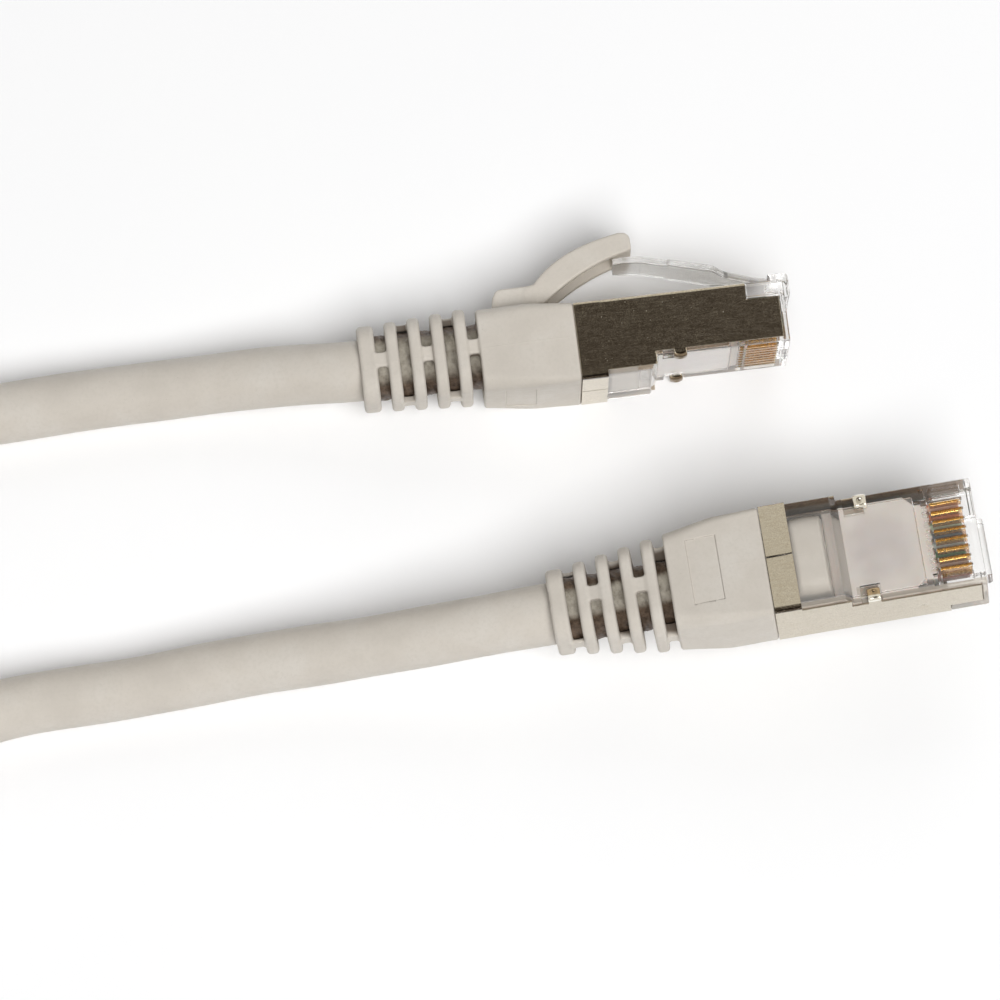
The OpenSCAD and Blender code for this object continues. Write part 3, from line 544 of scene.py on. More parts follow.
def latch_form(p):
    """The clear arm, with its narrow neck and its root."""
    x, y, z = p.T
    side = outline(x, z, LATCH_SIDE)
    d = far(far(side, outline(x, y, LATCH_PLAN), 0.16), side, 0.0)
    root = swept(np.hypot(x - LATCH_ROOT[0], z - LATCH_ROOT[1]) - 0.44, y, -1.62, 1.62, 0.08)
    return near(d, root, 0.15)


CLEAR_STEP, CLEAR_KEEP = 0.1, 0.3
housing_mesh = solid_mesh("housing_form", housing_form, (-21.6, -5.9, -1.3), (0.85, 5.9, 7.9),
                          CLEAR_STEP, CLEAR_KEEP)
latch_mesh = solid_mesh("latch_form", latch_form, (-17.0, -3.2, -5.15), (-1.1, 3.2, -0.3),
                        CLEAR_STEP, CLEAR_KEEP)
clear_bodies, latches = {}, {}
for s in "ab":
    o = placed(f"plug_{s}_clear_body", housing_mesh, s, housing_form)
    clear_bodies[s] = declare(o, "cable", f"plug_{s}_housing")
    o = placed(f"plug_{s}_clear_latch", latch_mesh, s, latch_form)
    latches[s] = declare(o, f"latch_{s}", f"plug_{s}_latch")


# ---- folded shield
def shield_form(p):
    """One folded sheet."""
    x, y, z = p.T
    # a small round dent pressed into the side
    y = y + np.where(y < 0, -0.12, 0) * np.exp(-((x + 6.63) ** 2 + (z - 2.85) ** 2) / 0.16)
    # the channel, higher behind the tabs
    outer = box2(y, z - 5.5, SHELL_HALF, 5.5, 0.32)
    sheet = np.maximum(outer, -box2(y, z - 5.7, SHEET_INNER, 5.5, 0.14))
    front = np.maximum(np.maximum(sheet, np.abs(x + 7.4) - 6.8), z - 6.05)
    rear = np.maximum(np.maximum(sheet, np.abs(x + 17.67) - 3.9), z - 7.4)
    d = np.minimum(front, rear)
    # band round the rear, its two wings meeting in a seam
    loop = box2(y, z - 4.05, SHELL_HALF, 4.05, 0.26)
    loop = np.maximum(loop, -box2(y, z - 4.05, SHEET_INNER, 3.85, 0.16))
    seam = np.maximum(np.abs(y - 0.2 - 0.015 * (x + 20.2)) - 0.09, 4 - z)
    band = np.maximum(np.maximum(loop, np.abs(x + 20.2) - 1.35), -seam)
    d = np.minimum(d, band)
    # tabs folded over the clear body and down into their pockets, each crowned and dimpled
    ay, tab_x = np.abs(y), x - TAB_X - np.where(y > 0, 0.08, -0.12)
    crown = z + 0.16 * np.minimum((tab_x / TAB_HALF) ** 2, 1)
    hook = box2(ay - 5.1, crown - 6.05, 0.74, 0.9, 0.45)
    hook = np.maximum(hook, -box2(ay - 5.1, crown - 5.98, 0.5, 0.62, 0.25))
    hook = np.maximum(hook, 6.12 - z)
    up = np.maximum(np.abs(ay - 5.74) - 0.1, np.abs(z - 6.1) - 0.35)
    tab = far(np.minimum(hook, up), np.abs(tab_x) - TAB_HALF, 0.12)
    tab = far(tab, 0.52 - np.sqrt(tab_x ** 2 + (ay - 5.0) ** 2 + (z - 7.32) ** 2), 0.08)
    d = np.minimum(d, tab)
    # notch beside the latch's root
    d = np.maximum(d, -np.maximum(-3.9 - x, z - 1.8))
    return d - 0.012


SHEET_STEP, SHEET_KEEP = 0.085, 0.25
shield_mesh = solid_mesh("shield_form", shield_form, (-21.6, -5.9, -0.05), (-0.5, 5.9, 8.15),
                         SHEET_STEP, SHEET_KEEP)
shields = {}
for s in "ab":
    o = placed(f"plug_{s}_folded_shield", shield_mesh, s, shield_form)
    shields[s] = declare(o, "cable", f"plug_{s}_shield")


# ---- milky bar that holds the wires
BAR_PLAN = [(-15.4, -5.0), (-7.0, -5.0), (-6.0, -4.0), (-6.0, 4.0), (-7.0, 5.0), (-15.4, 5.0)]


def bar_form(p):
    """A block with bevelled front corners, a step at the rear and a tongue in front."""
    x, y, z = p.T
    d = swept(outline(x, y, BAR_PLAN), z, 1.3, 5.66, 0.12)
    d = far(d, -block(p, (-16, -6, 4.6), (-14.3, 6, 7), 0.1), 0.3)
    return near(d, block(p, (-6.3, -4.1, 1.9), (-4.62, 4.1, 4.95), 0.15), 0.15)


BAR_STEP, BAR_KEEP = 0.12, 0.2
bar_mesh = solid_mesh("bar_form", bar_form, (-15.5, -5.1, 1.2), (-4.5, 5.1, 5.8), BAR_STEP, BAR_KEEP)
bars = {}
for s in "ab":
    o = placed(f"plug_{s}_load_bar", bar_mesh, s, bar_form)
    bars[s] = declare(o, "cable", f"plug_{s}_wire_guide")


# ---- wires, foil screen and jacket end
def wobble(u, v, seed, octaves=3):
    """Smooth seeded noise from -1 to 1 over two numbers, v being an angle."""
    dice = np.random.default_rng(seed)
    total, size = 0.0, 0.0
    for k in range(octaves):
        for _ in range(5):
            f, m = dice.uniform(0.6, 1.4) * 2 ** k, dice.integers(-3, 4) * (k + 1)
            total = total + np.sin(f * u + m * v + dice.uniform(0, 2 * math.pi)) / (k + 1)
            size += 0.5 / (k + 1)
    return total / size


def ring_solid(name, xs, profile, s, sides):
    """A closed skin through rings square to a plug's x; profile(x, angle) gives their y and z in plug mm."""
    ang = 2 * math.pi * np.arange(sides) / sides
    x, a = np.meshgrid(np.asarray(xs, dtype=float), ang, indexing="ij")
    y, z = profile(x, a)
    p = np.stack([x, y, z], axis=-1).reshape(-1, 3)
    m = np.array(PLUG[s])
    obj = mesh_object(name, p @ m[:3, :3].T + m[:3, 3], tube_faces(len(xs), sides, turned=True))
    wrap = obj.data.attributes.new("wrap", "FLOAT_VECTOR", "POINT")
    wrap.data.foreach_set("vector", np.stack([x, np.cos(a), np.sin(a)], axis=-1).ravel())
    return obj


def ends(x0, x1, r, count):
    """Places along x with a rounded start and end, and the share of full size there."""
    t = np.array([0, 0.08, 0.25, 0.5, 0.75, 1.0])
    xs = np.concatenate([x0 + r * t, np.linspace(x0 + r, x1 - r, count)[1:-1], (x1 - r * t)[::-1]])
    cap = np.sqrt(1 - (1 - t) ** 2)
    size = np.concatenate([cap, np.ones(count - 2), cap[::-1]])
    return xs, np.maximum(size, 0.15)


def flat_round(a, half_w, half_h, power):
    """A rounded flat outline: a superellipse from round (2) to nearly square."""
    c, n = np.cos(a), np.sin(a)
    r = (np.abs(c / half_w) ** power + np.abs(n / half_h) ** power) ** (-1 / power)
    return r * c, r * n


WIRE_X, WIRE_R, WIRE_SIDES = (-18.9, -1.45), 0.5, 20
wire_pieces = {}
for s in "ab":
    for i in range(1, 9):
        lo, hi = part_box(f"plug_{s}_contact_{i}")
        mid = PLUG[s].inverted() @ ((Vector(lo) + Vector(hi)) / 2)
        yc, zc = mid.y, HIGH_ROW if i % 2 else LOW_ROW
        xs, size = ends(*WIRE_X, 0.16, 34)

        def wire_profile(x, a, yc=yc, zc=zc, size=size, i=i):
            """Round behind; pressed up round the blade in front."""
            r = WIRE_R * size[:, None]
            back = np.clip((-15.4 - x) / 3, 0, 1)
            front = np.clip((x + 4.9) / 0.5, 0, 1) * np.clip((-1.42 - x) / 0.25, 0, 1)
            lift = front * (4.95 - 0.12 * (i % 2) - zc - 0.5) * np.maximum(np.sin(a), 0) ** 0.6
            y, z = flat_round(a, r, r, 2 + 1.2 * front)
            return (yc + y + 0.1 * back * np.sin(1.9 * x + i),
                    zc + z + lift + 0.08 * back * np.cos(1.3 * x + 2 * i))

        o = ring_solid(f"plug_{s}_lead_{i}", xs, wire_profile, s, WIRE_SIDES)
        node = f"plug_{s}_wire_{i}"
        wire_pieces[declare(o, "cable", node)] = i


def pressed(x):
    """From 0 where the cable is round to 1 where the crimp has pressed it flat."""
    flat = np.clip((x + 29.5) / 2.2, 0, 1)
    return flat * flat * (3 - 2 * flat)


def foil_profile(x, a):
    flat = pressed(x)
    y0, z0 = flat_round(a, 3.28, 3.28, 2)
    y1, z1 = flat_round(a, 4.5, 2.5, 4)
    k = 1 + (0.03 * np.abs(wobble(1.1 * x, a, 3)) + 0.035 * wobble(2.6 * x, 2 * a, 5)) * (1 - flat)
    k = np.minimum(k, 1.05)
    return (y0 + (y1 - y0) * flat) * k, AXIS_Z + (z0 + (z1 - z0) * flat) * k


def jacket_profile(x, a):
    flat = pressed(x)
    y0, z0 = flat_round(a, CABLE_R, CABLE_R, 2)
    y1, z1 = flat_round(a, 4.25 + 0.05 * np.sin(2.1 * x), 2.3, 6)
    raised = np.clip((x + 19.2) / 0.35, 0, 1)
    z1 = z1 + raised * 1.7 * (z1 > 0) * np.abs(z1) / 2.3
    lip = np.sqrt(np.clip(1 - np.clip((x + 15.75) / 0.33, 0, 1) ** 2, 0.3, 1))
    return (0.2 * raised + (y0 + (y1 - y0) * flat) * (0.93 + 0.07 * lip),
            AXIS_Z + (z0 + (z1 - z0) * flat) * lip)


FOIL_XS = np.linspace(-42.4, -22.1, 150)
JACKET_XS = np.concatenate([np.linspace(-43.4, -15.85, 80), [-15.75, -15.6, -15.5, -15.42]])
foils, jacket_ends = {}, {}
for s in "ab":
    o = ring_solid(f"plug_{s}_foil_screen", FOIL_XS, foil_profile, s, 96)
    foils[s] = declare(o, "cable", f"plug_{s}_screen")
    o = ring_solid(f"plug_{s}_jacket_front", JACKET_XS, jacket_profile, s, 64)
    jacket_ends[s] = declare(o, "cable", f"plug_{s}_jacket_end")


# ---- materials
def srgb(r, g, b):
    """A colour given in 0 to 255, in the linear values that nodes take."""
    f = lambda c: c / 12.92 if c <= 0.04045 else ((c + 0.055) / 1.055) ** 2.4
    return (f(r / 255), f(g / 255), f(b / 255), 1)


class Tree:
    """Short ways to add nodes to a material or the world."""

    def __init__(self, tree):
        self.tree = tree
        tree.nodes.clear()

    def add(self, kind, **props):
        node = self.tree.nodes.new("ShaderNode" + kind)
        for key, value in props.items():
            setattr(node, key, value)
        return node

    def feed(self, socket, value):
        if isinstance(value, bpy.types.NodeSocket):
            self.tree.links.new(value, socket)
        else:
            socket.default_value = value

    def math(self, op, a, b=0.0):
        node = self.add("Math", operation=op)
        self.feed(node.inputs[0], a)
        self.feed(node.inputs[1], b)
        return node.outputs[0]

    def times(self, first, *rest):
        for value in rest:
            first = self.math("MULTIPLY", first, value)
        return first

    def off(self, value, centre):
        """How far a value is from a centre."""
        return self.math("ABSOLUTE", self.math("SUBTRACT", value, centre))

    def band(self, value, a, b, low=0.0, high=1.0):
        """A smooth step of value from a to b, giving low to high."""
        node = self.add("MapRange", interpolation_type="SMOOTHSTEP")
        for socket, v in zip(node.inputs, (value, a, b, low, high)):
            self.feed(socket, v)
        return node.outputs[0]

    def mix(self, factor, a, b):
        node = self.add("Mix", data_type="RGBA")
        for k, value in ((0, factor), (6, a), (7, b)):
            self.feed(node.inputs[k], value)
        return node.outputs[2]

    def blend(self, factor, a, b):
        """Two shaders mixed."""
        node = self.add("MixShader")
        for socket, value in zip(node.inputs, (factor, a, b)):
            self.feed(socket, value)
        return node.outputs[0]

    def ramp(self, factor, *stops):
        node = self.add("ValToRGB")
        e = node.color_ramp.elements
        while len(e) < len(stops):
            e.new(0.5)
        for k, (at, colour) in enumerate(stops):
            e[k].position, e[k].color = at, colour
        self.feed(node.inputs[0], factor)
        return node.outputs[0]


class Material(Tree):
    """A material with coordinates in mm, in a plug's own frame or in the row frame."""

    def __init__(self, name, s=None):
        self.made = bpy.data.materials.new(name)
        self.made.use_nodes = True
        super().__init__(self.made.node_tree)
        self.out = self.add("OutputMaterial")
        self.shader = self.add("BsdfPrincipled")
        self.feed(self.out.inputs[0], self.shader.outputs[0])
        to_mm = self.add("Mapping", vector_type="TEXTURE")
        to_mm.inputs["Scale"].default_value = (0.001, 0.001, 0.001)
        if s:
            loc, rot = POSES[s]
            to_mm.inputs["Location"].default_value = [v / 1000 for v in loc]
            to_mm.inputs["Rotation"].default_value = [math.radians(v) for v in rot]
        self.feed(to_mm.inputs["Vector"], self.add("TexCoord").outputs["Object"])
        self.place = to_mm.outputs[0]
        cut = self.add("SeparateXYZ")
        self.feed(cut.inputs[0], self.place)
        self.x, self.y, self.z = cut.outputs

    def set(self, **values):
        for key, value in values.items():
            self.feed(self.shader.inputs[key.replace("_", " ")], value)

    def noise(self, scale, detail=3.0, rough=0.5, stretch=None, twist=0.0):
        """Noise in mm; stretch multiplies the coordinates first."""
        place = self.place
        if stretch:
            wide = self.add("VectorMath", operation="MULTIPLY")
            self.feed(wide.inputs[0], place)
            self.feed(wide.inputs[1], stretch)
            place = wide.outputs[0]
        node = self.add("TexNoise")
        for key, value in (("Vector", place), ("Scale", scale), ("Detail", detail), ("Roughness", rough),
                           ("Distortion", twist)):
            self.feed(node.inputs[key], value)
        return node.outputs[0]

    def cells(self, scale, feature="F1"):
        node = self.add("TexVoronoi", feature=feature)
        self.feed(node.inputs["Vector"], self.place)
        self.feed(node.inputs["Scale"], scale)
        return node.outputs[0]

    def wrap(self):
        """On a ring solid: x in mm, and the cosine and sine of the angle round it."""
        cut = self.add("SeparateXYZ")
        self.feed(cut.inputs[0], self.add("Attribute", attribute_name="wrap").outputs["Vector"])
        return tuple(cut.outputs)

    def bump(self, height, strength, distance, under=None):
        """distance in mm"""
        node = self.add("Bump")
        node.inputs["Strength"].default_value = strength
        node.inputs["Distance"].default_value = distance / 1000
        self.feed(node.inputs["Height"], height)
        if under:
            self.feed(node.inputs["Normal"], under)
        return node.outputs[0]


def gap_shade(m):
    """Where shade is painted deep in the gaps of the strain relief: on the links, and above and below."""
    along = m.math("FLOORED_MODULO", m.math("SUBTRACT", -BODY_END, m.x), RING + RING_GAP)
    in_gap = m.band(m.off(along, RING_GAP / 2), 0.45, 0.6, 1, 0)
    behind = m.math("LESS_THAN", m.x, -BODY_END)
    ay, high = m.off(m.y, 0), m.off(m.z, AXIS_Z)
    edge = m.math("SUBTRACT", ay, m.times(m.math("ADD", m.x, 32.15), 0.137))
    flush = m.band(m.x, -39.3, -39.0, 0.0, 0.85)  # the last pair of links lies flush
    sides = m.times(in_gap, m.band(high, 1.0, 1.3, 1, 0), m.band(edge, 4.2, 4.8, 1, 0), behind, flush)
    above = m.times(m.band(high, 3.9, 4.25, 1, 0), m.band(ay, 0.8, 0.9, 1, 0), in_gap,
                    m.band(m.z, 3.0, 3.2, 0.75, 0.3), behind)
    return m.math("MAXIMUM", sides, above)


def jacket_material(name, s=None):
    """Soft grey PVC: faint mottling, tiny specks, a satin skin with a fine grain, on a plug parting lines and
    painted shade in the gaps of its strain relief.
    """
    m = Material(name, s)
    tone = m.ramp(m.noise(0.22, 3), (0.3, srgb(199, 192, 182)), (0.5, srgb(204, 197, 187)),
                  (0.72, srgb(208, 202, 193)))
    tone = m.mix(m.band(m.noise(2.6, 4, 0.65), 0.42, 0.7, 0, 0.35), tone, srgb(193, 187, 176))
    speck = m.times(m.band(m.cells(1.5), 0.045, 0.075, 1, 0), m.band(m.noise(0.9, 1), 0.52, 0.6, 0, 0.35))
    tone = m.mix(speck, tone, srgb(150, 140, 126))
    skin = m.bump(m.noise(7, 3, 0.6), 0.22, 0.012)
    skin = m.bump(m.noise(0.8, 2), 0.35, 0.05, skin)
    if s:
        # painted shade deep in the gaps of the strain relief
        tone = m.mix(gap_shade(m), tone, srgb(84, 68, 54))
        # parting lines of the mould along the sides and along the top
        skin = m.bump(m.band(m.off(m.z, 3.55), 0.02, 0.1, 1, 0), 0.5, 0.03, skin)
        skin = m.bump(m.band(m.off(m.y, 0.1), 0.02, 0.1, 1, 0), 0.35, 0.02, skin)
    m.set(Base_Color=tone, Roughness=m.band(m.noise(1.4, 4, 0.6), 0.3, 0.7, 0.4, 0.56),
          Specular_IOR_Level=0.45, Normal=skin)
    return m.made


def clear_tone(m, s, scuffs):
    """The tint of the clear plastic, with painted reflections and shadows of the parts that lie against it.
    """
    ay = m.off(m.y, 0)
    tone = m.ramp(m.noise(0.5, 2), (0.35, (0.97, 0.965, 0.955, 1)), (0.65, (0.99, 0.99, 0.985, 1)))
    # painted reflection of the brown of the sheet's inner side
    low = m.times(m.band(m.x, -0.8, -0.6, 1, 0), m.band(m.z, 6.0, 6.3, 1, 0),
                  m.math("MAXIMUM", m.band(m.z, 1.7, 1.9), m.band(m.x, -4.1, -3.9, 1, 0)))
    wall = m.times(m.band(ay, 4.85, 5.15), m.math("MAXIMUM", low, m.band(m.x, -5.3, -4.9, 1, 0)))
    share = 0.3
    if s == "b":  # mostly on the far side, and less beside the blades
        share = m.times(m.band(m.y, -0.1, 0.1, 0.15, 1.0), m.band(m.x, -5.2, -4.8, 1, 0.2))
        tone = m.mix(m.band(m.y, -5.3, -5.0, 1, 0), tone, srgb(208, 199, 186))
    brown = m.ramp(scuffs, (0.35, srgb(150, 122, 96)), (0.65, srgb(196, 176, 152)))
    tone = m.mix(m.times(wall, share), tone, brown)
    # painted shadow of the tabs in their pockets
    pocket = m.times(m.band(ay, 3.75, 3.95), m.band(m.z, 6.05, 6.4, 1, 0),
                     m.math("LESS_THAN", m.off(m.x, -12.0), 1.1), m.band(ay, 4.9, 5.1, 1, 0))
    tone = m.mix(pocket, tone, srgb(205, 199, 190))
    # painted reflection of the blades' gold on the walls of their slots
    if s == "a":  # the gold of the blades on the walls of their slots
        gold = m.times(m.band(ay, 4.1, 4.3, 1, 0), m.math("LESS_THAN", m.off(m.x, -3.1), 1.9),
                       m.band(m.z, 4.4, 4.8))
        tone = m.mix(gold, tone, srgb(240, 216, 164))
    # painted shade from the lever over the latch's tail
    tail = m.times(m.band(m.x, -15.6, -15.1, 0.28, 0), m.math("LESS_THAN", m.z, -0.5))
    return m.mix(tail, tone, srgb(170, 152, 130))


def clear_material(s, name, clarity, least, ripple):
    """Clear polycarbonate, a little hazy, with flow lines and handling marks. Lamps shine through it."""
    m = Material(f"{name}_{s}", s)
    scuffs = m.noise(3.0, 4, 0.7, (0.35, 1, 1))
    m.set(Base_Color=clear_tone(m, s, scuffs), Roughness=m.band(scuffs, 0.45, 0.75, least, least + 0.08),
          IOR=1.58, Transmission_Weight=clarity)
    if s == "b":  # the wall that leans towards the viewer has taken most scuffs
        m.set(Transmission_Weight=m.band(m.y, -5.3, -4.95, clarity - 0.5, clarity))
    flow = m.noise(0.4, 1, 0.5, (0.3, 1, 1))
    m.set(Normal=m.bump(flow, ripple, 0.04, m.bump(scuffs, 0.4 * ripple, 0.008)))
    path, through = m.add("LightPath"), m.add("BsdfTransparent")
    m.feed(through.inputs[0], m.ramp(m.noise(0.5, 2), (0.35, (0.9, 0.89, 0.88, 1)),
                                     (0.65, (0.94, 0.935, 0.93, 1))))
    light = m.math("MAXIMUM", path.outputs["Is Shadow Ray"], path.outputs["Is Diffuse Ray"])
    m.feed(m.out.inputs[0], m.blend(light, m.shader.outputs[0], through.outputs[0]))
    return m.made


def nickel_material(s):
    """Nickel plate: fine lengthwise rolling lines, slanting wipe marks, dull blotches, scratches and grit;
    painted shade on its inner side and in the tabs' dimples, a painted dark reflection on a wing's bend and,
    on plug B, a painted highlight on the tabs.
    """
    m = Material(f"nickel_plate_{s}", s)
    ay = m.off(m.y, 0)
    rolled = m.noise(4.2, 5, 0.7, (0.2, 1.6, 1.6), 0.3)
    wiped = m.noise(2.4, 5, 0.7, (1.0, 0.5, 0.5), 0.4)
    fine = m.noise(9, 2, 0.6)
    # dull: the brown of the painted shade on the sheet's inner side
    many, some, dull = (0.45, 0.5, (128, 108, 86)) if s == "a" else (0.25, 0.2, (108, 88, 68))
    tone = m.ramp(rolled, (0.3, srgb(202, 193, 176)), (0.55, srgb(211, 203, 188)),
                  (0.75, srgb(219, 212, 199)))
    tone = m.mix(m.band(wiped, 0.5, 0.75, 0, 0.4), tone, srgb(190, 178, 156))
    tone = m.mix(m.band(fine, 0.36, 0.5, many, 0), tone, srgb(132, 118, 96))
    tone = m.mix(m.band(m.noise(6, 2, 0.6), 0.5, 0.66, 0, some), tone, srgb(250, 240, 220))
    # the inner side of the sheet is rougher and less metallic, with painted shade in brown on it, paler
    # behind the tabs on plug A
    shade = m.ramp(wiped, (0.3, srgb(*dull)), (0.7, srgb(*[v + 42 for v in dull])))
    if s == "a":
        shade = m.mix(m.band(m.x, -13.3, -13.0, 1, 0), shade, srgb(196, 182, 164))
    inner = m.times(m.band(ay, 5.7, 5.76, 1, 0), m.band(m.z, 0.1, 0.16),
                    m.math("LESS_THAN", m.z, m.band(m.x, -13.8, -13.75, 7.9, 6.08)))
    tone = m.mix(inner, tone, shade)
    # the tabs are browner; on plug B a painted highlight covers the upper tab and the lower tab's edge, so
    # the brown stays on the flat of the lower tab
    on_tab = m.math("LESS_THAN", m.off(m.x, TAB_X), 0.9)
    tab = m.times(m.band(m.z, 6.45, 6.6), on_tab)
    tone = m.mix(m.times(tab, 0.8), tone, srgb(196, 168, 128) if s == "b" else srgb(120, 100, 76))
    if s == "b":
        bright = m.math("MAXIMUM", m.band(m.y, -5.35, -5.15, 1, 0), m.band(m.y, 0.0, 0.1, 0, 0.9))
        tone = m.mix(m.times(tab, bright), tone, srgb(250, 247, 238))
    # painted shade, darkest in the middle of each tab's dimple
    reach = m.math("ADD", m.math("POWER", m.off(m.x, TAB_X), 2), m.math("POWER", m.off(ay, 5.0), 2))
    dimple = m.times(m.band(reach, 0.03, 0.13, 0.4, 0), m.band(m.z, 6.5, 6.6))
    tone = m.mix(dimple, tone, srgb(128, 112, 88))
    # painted dark reflection, grained, on the bend of the wing that faces the camera
    side = (5.2, 5.4) if s == "a" else (-5.2, -5.4)
    bend = m.times(m.band(m.y, *side), m.band(m.z, 7.7, 7.85), m.band(fine, 0.55, 0.62, 0.95, 0.45))
    tone = m.mix(bend, tone, srgb(52, 38, 26))
    grit = m.times(m.band(m.cells(1.9), 0.05, 0.09, 1, 0), m.band(m.noise(0.9, 1), 0.54, 0.6))
    hair = m.band(m.noise(3.0, 3, 0.6, (0.3, 2.6, 2.6), 0.8), 0.6, 0.68)
    rough = m.math("ADD", m.band(rolled, 0.3, 0.7, 0.15, 0.19), m.band(wiped, 0.45, 0.8, 0, 0.06))
    rough = m.math("ADD", rough, m.math("ADD", m.times(grit, 0.35), m.times(hair, 0.035)))
    m.set(Base_Color=tone, Metallic=m.band(inner, 0, 1, 1, 0.55),
          Roughness=m.math("ADD", rough, m.times(inner, 0.25)))
    skin = m.bump(rolled, 0.05, 0.008, m.bump(m.noise(0.3, 1), 0.12, 0.05))
    m.set(Normal=m.bump(fine, 0.08, 0.006, skin))
    return m.made


def gold_material(s):
    """Gold-plated blades, a little worn, with painted shade making them browner down their sides on plug B
    and darker all over on plug A.
    """
    m = Material(f"gold_plate_{s}", s)
    tone = m.ramp(m.noise(3.2, 3, 0.6), (0.35, srgb(218, 160, 72)), (0.65, srgb(240, 196, 112)))
    # painted shade: browner down the blades' sides on plug B, and on plug A a darker copy all over
    if s == "b":
        tone = m.mix(m.band(m.z, 4.9, 5.9, 1, 0), tone, srgb(182, 120, 52))
    else:
        tone = m.mix(0.8, tone, srgb(192, 152, 60))
    m.set(Base_Color=tone, Metallic=0.75, Roughness=m.band(m.noise(5, 3), 0.3, 0.7, 0.16, 0.3),
          Normal=m.bump(m.noise(6, 2), 0.2, 0.01))
    return m.made


def milky_material(s):
    """Milky plastic, darker in the middle, with painted shade at its rear step, with the frosted skin of a
    mould.
    """
    m = Material(f"milky_plastic_{s}", s)
    reach = m.math("ADD", m.math("POWER", m.math("ADD", m.x, 10.2), 2), m.math("POWER", m.y, 2))
    tone = m.mix(m.band(reach, 2, 20), srgb(192, 183, 179), srgb(213, 205, 197))
    tone = m.mix(m.band(m.noise(0.4, 3), 0.35, 0.65, 0, 0.3), tone, srgb(212, 205, 198))
    # painted shade at the rear step
    tone = m.mix(m.band(m.x, -14.9, -14.1, 0.8, 0), tone, srgb(158, 147, 138))
    m.set(Base_Color=tone, Roughness=m.band(m.noise(2.2, 3), 0.3, 0.7, 0.35, 0.55),
          Normal=m.bump(m.noise(4, 3), 0.08, 0.01), Subsurface_Weight=0.25, Subsurface_Scale=0.0006)
    return m.made


def foil_material(s):
    """Crinkled foil under a tinned braid, with painted light and shade: pale where it faces up, brown down
    its sides.
    """
    m = Material(f"foil_and_braid_{s}", s)
    across, over = m.wrap()[1:]
    crease = m.noise(1.8, 4, 0.7)
    pale = m.ramp(crease, (0.3, srgb(140, 133, 121)), (0.6, srgb(176, 170, 158)))
    brown = m.ramp(crease, (0.35, srgb(60, 46, 35)), (0.7, srgb(118, 100, 84)))
    # painted light on the side that faces up as each plug lies, painted shade in brown round it
    if s == "b":
        up = m.band(m.math("SUBTRACT", m.times(over, 0.992), m.times(across, 0.13)), 0.84, 0.97)
    else:
        up = m.band(across, 0.6, 0.95)
    m.set(Base_Color=m.mix(up, brown, pale), Metallic=0.35, Roughness=m.band(crease, 0.3, 0.7, 0.35, 0.55))
    fold = m.band(m.cells(0.85, "DISTANCE_TO_EDGE"), 0, 0.25)
    m.set(Normal=m.bump(crease, 0.25, 0.06, m.bump(fold, 0.25, 0.08)))
    return m.made


def collar_material(s):
    """Plated steel, rubbed along the plug."""
    m = Material(f"pressed_collar_{s}", s)
    rub = m.noise(1.5, 4, 0.6, (0.3, 1, 1))
    m.set(Base_Color=m.ramp(rub, (0.3, srgb(150, 143, 132)), (0.7, srgb(190, 184, 172))), Metallic=1.0,
          Roughness=m.band(rub, 0.3, 0.7, 0.28, 0.45), Normal=m.bump(rub, 0.3, 0.02))
    return m.made


def wire_material(name, base, stripe=None):
    """Wire insulation; the pale wire of a pair carries the other's colour as a winding stripe."""
    m = Material(name)
    tone = m.ramp(m.noise(1.1, 2), (0.3, tuple(c * 0.86 for c in base[:3]) + (1,)), (0.7, base))
    if stripe:
        along, across, over = m.wrap()
        wind = m.math("SINE", m.math("ADD", m.math("ARCTAN2", over, across), m.times(along, 1.1)))
        tone = m.mix(m.band(wind, 0.35, 0.5), tone, stripe)
    m.set(Base_Color=tone, Roughness=m.band(m.noise(3, 2), 0.3, 0.7, 0.3, 0.45),
          Normal=m.bump(m.noise(5, 2), 0.1, 0.01))
    return m.made


WIRES = {1: ((240, 204, 180), (236, 150, 100)), 2: ((236, 146, 88), None),
         3: ((190, 204, 176), (104, 142, 96)), 4: ((116, 130, 140), None),
         5: ((184, 194, 190), (116, 130, 140)), 6: ((92, 136, 92), None),
         7: ((206, 186, 172), (136, 100, 76)), 8: ((156, 120, 112), None)}
wires = {i: wire_material(f"wire_{i}_insulation", srgb(*c), srgb(*d) if d else None)
         for i, (c, d) in WIRES.items()}


def dress_node(obj, mat):
    """Gives a CAD object a material without touching its mesh."""
    for slot in obj.material_slots:
        slot.link = "OBJECT"
        slot.material = mat


for o, i in wire_pieces.items():
    o.data.materials.append(wires[i])
for s in "ab":
    jacket = jacket_material(f"jacket_pvc_{s}", s)
    clear = clear_material(s, "clear_polycarbonate", 0.97, 0.02, 0.09)
    latch_clear = clear_material(s, "clear_latch_polycarbonate", 0.92, 0.12, 0.025)
    nickel, gold, milky, foil = nickel_material(s), gold_material(s), milky_material(s), foil_material(s)
    for pieces, mat in ((boots, jacket), (clear_bodies, clear), (latches, latch_clear), (shields, nickel),
                        (bars, milky), (foils, foil), (jacket_ends, jacket)):
        pieces[s].data.materials.append(mat)
    nodes = {"housing": clear, "latch": clear, "shield": nickel, "wire_guide": milky, "screen": foil,
             "crimp_collar": collar_material(s)}
    for name, obj in nodes_of.items():
        if not name.startswith(f"plug_{s}_"):
            continue
        part = name[len("plug_a_"):]
        if part.startswith("contact"):
            dress_node(obj, gold)
            soft = obj.modifiers.new("soft_edges", "BEVEL")
            soft.width, soft.segments, soft.limit_method = 0.00012, 3, "ANGLE"
        elif part.startswith("wire_") and part[-1].isdigit():
            dress_node(obj, wires[int(part[-1])])
        else:
            dress_node(obj, nodes.get(part, jacket))
jacket = jacket_material("jacket_pvc_cable")
cable.data.materials.append(jacket)
for name in ("cable_a", "cable_coil", "cable_b"):
    dress_node(nodes_of[name], jacket)

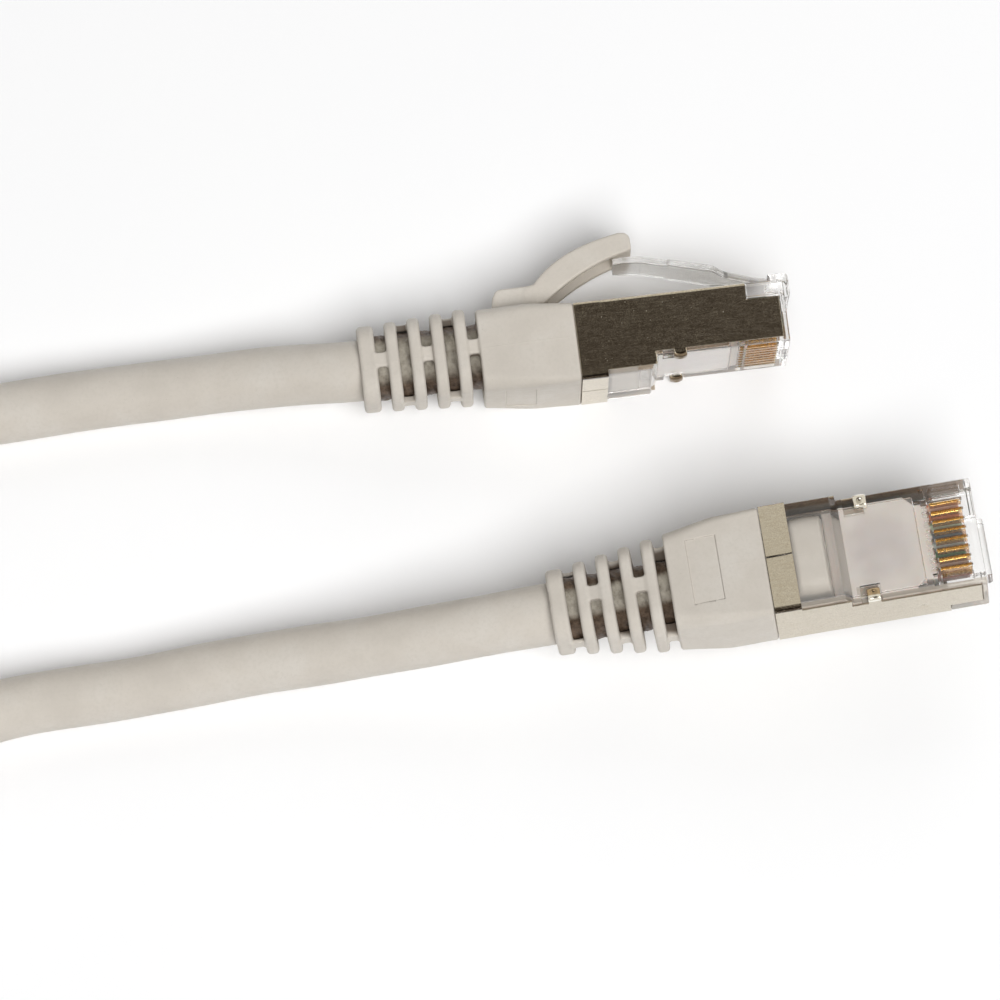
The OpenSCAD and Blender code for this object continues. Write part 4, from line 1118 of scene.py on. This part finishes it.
# ---- floor, light, world
floor = mesh_object("floor", [(-3, -3, 0), (3, -3, 0), (3, 3, 0), (-3, 3, 0)], [(0, 1, 2, 3)], smooth=False)
m = Material("floor_paper")
m.set(Base_Color=m.ramp(m.noise(0.02, 2), (0.3, (0.965, 0.965, 0.97, 1)), (0.7, (0.975, 0.975, 0.975, 1))),
      Roughness=1.0, Specular_IOR_Level=0.0)
floor.data.materials.append(m.made)


def direction(bearing, height):
    """A direction in degrees; bearing runs from the front to the right, height up from the floor."""
    b, h = math.radians(bearing), math.radians(height)
    return Vector((math.sin(b) * math.cos(h), -math.cos(b) * math.cos(h), math.sin(h)))


def lamp(name, bearing, height, away, size, power):
    """A soft square lamp that shines on the middle."""
    light = bpy.data.lights.new(name, "AREA")
    light.shape, light.size, light.energy = "SQUARE", size, power
    obj = new_object(name, light)
    aim(obj, direction(bearing, height) * away, (0, 0, 0))
    obj.visible_glossy = False  # shiny surfaces show the room's own soft places instead


lamp("key", 27, 65, 1.3, 0.85, 16.8)
lamp("back", 180, 37, 1.3, 0.75, 2.8)

# The room: plain for what it lights. In shiny surfaces it has a dark place overhead, behind the camera.
world = bpy.data.worlds.new("studio")
scene.world = world
world.use_nodes = True
w = Tree(world.node_tree)
out = w.add("OutputWorld")
way = w.add("TexCoord").outputs["Generated"]
cut = w.add("SeparateXYZ")
w.feed(cut.inputs[0], way)


def patch(bearing, height, wide, soft):
    """1 inside a round place in the room, in degrees, and 0 outside."""
    dot = w.add("VectorMath", operation="DOT_PRODUCT")
    w.feed(dot.inputs[0], way)
    w.feed(dot.inputs[1], direction(bearing, height))
    return w.band(dot.outputs["Value"], math.cos(math.radians(wide + soft)), math.cos(math.radians(wide)))


walls = w.ramp(cut.outputs[2], (0.0, srgb(240, 238, 234)), (0.5, srgb(222, 218, 210)),
               (0.9, srgb(196, 190, 178)))
walls = w.mix(w.band(cut.outputs[1], -0.1, 0.35), walls, srgb(221, 217, 206))
room = w.mix(patch(0, 86, 20, 7), walls, srgb(52, 42, 33))
room = w.mix(patch(75, 42, 12, 6), room, (2.6, 2.55, 2.45, 1))
room = w.mix(patch(-30, 57, 10, 5), room, (2.4, 2.35, 2.25, 1))


def glow(colour, strength=1.0):
    node = w.add("Background")
    w.feed(node.inputs[0], colour)
    w.feed(node.inputs[1], strength)
    return node.outputs[0]


WHITE, FILL = (1, 1, 1, 1), 0.13
path = w.add("LightPath").outputs
sees = w.math("MAXIMUM", path["Is Camera Ray"], path["Is Transmission Ray"])
lit = w.blend(path["Is Glossy Ray"], glow(WHITE, FILL), glow(room))
w.feed(out.inputs[0], w.blend(sees, lit, glow(WHITE)))
scene.view_settings.view_transform = "Standard"
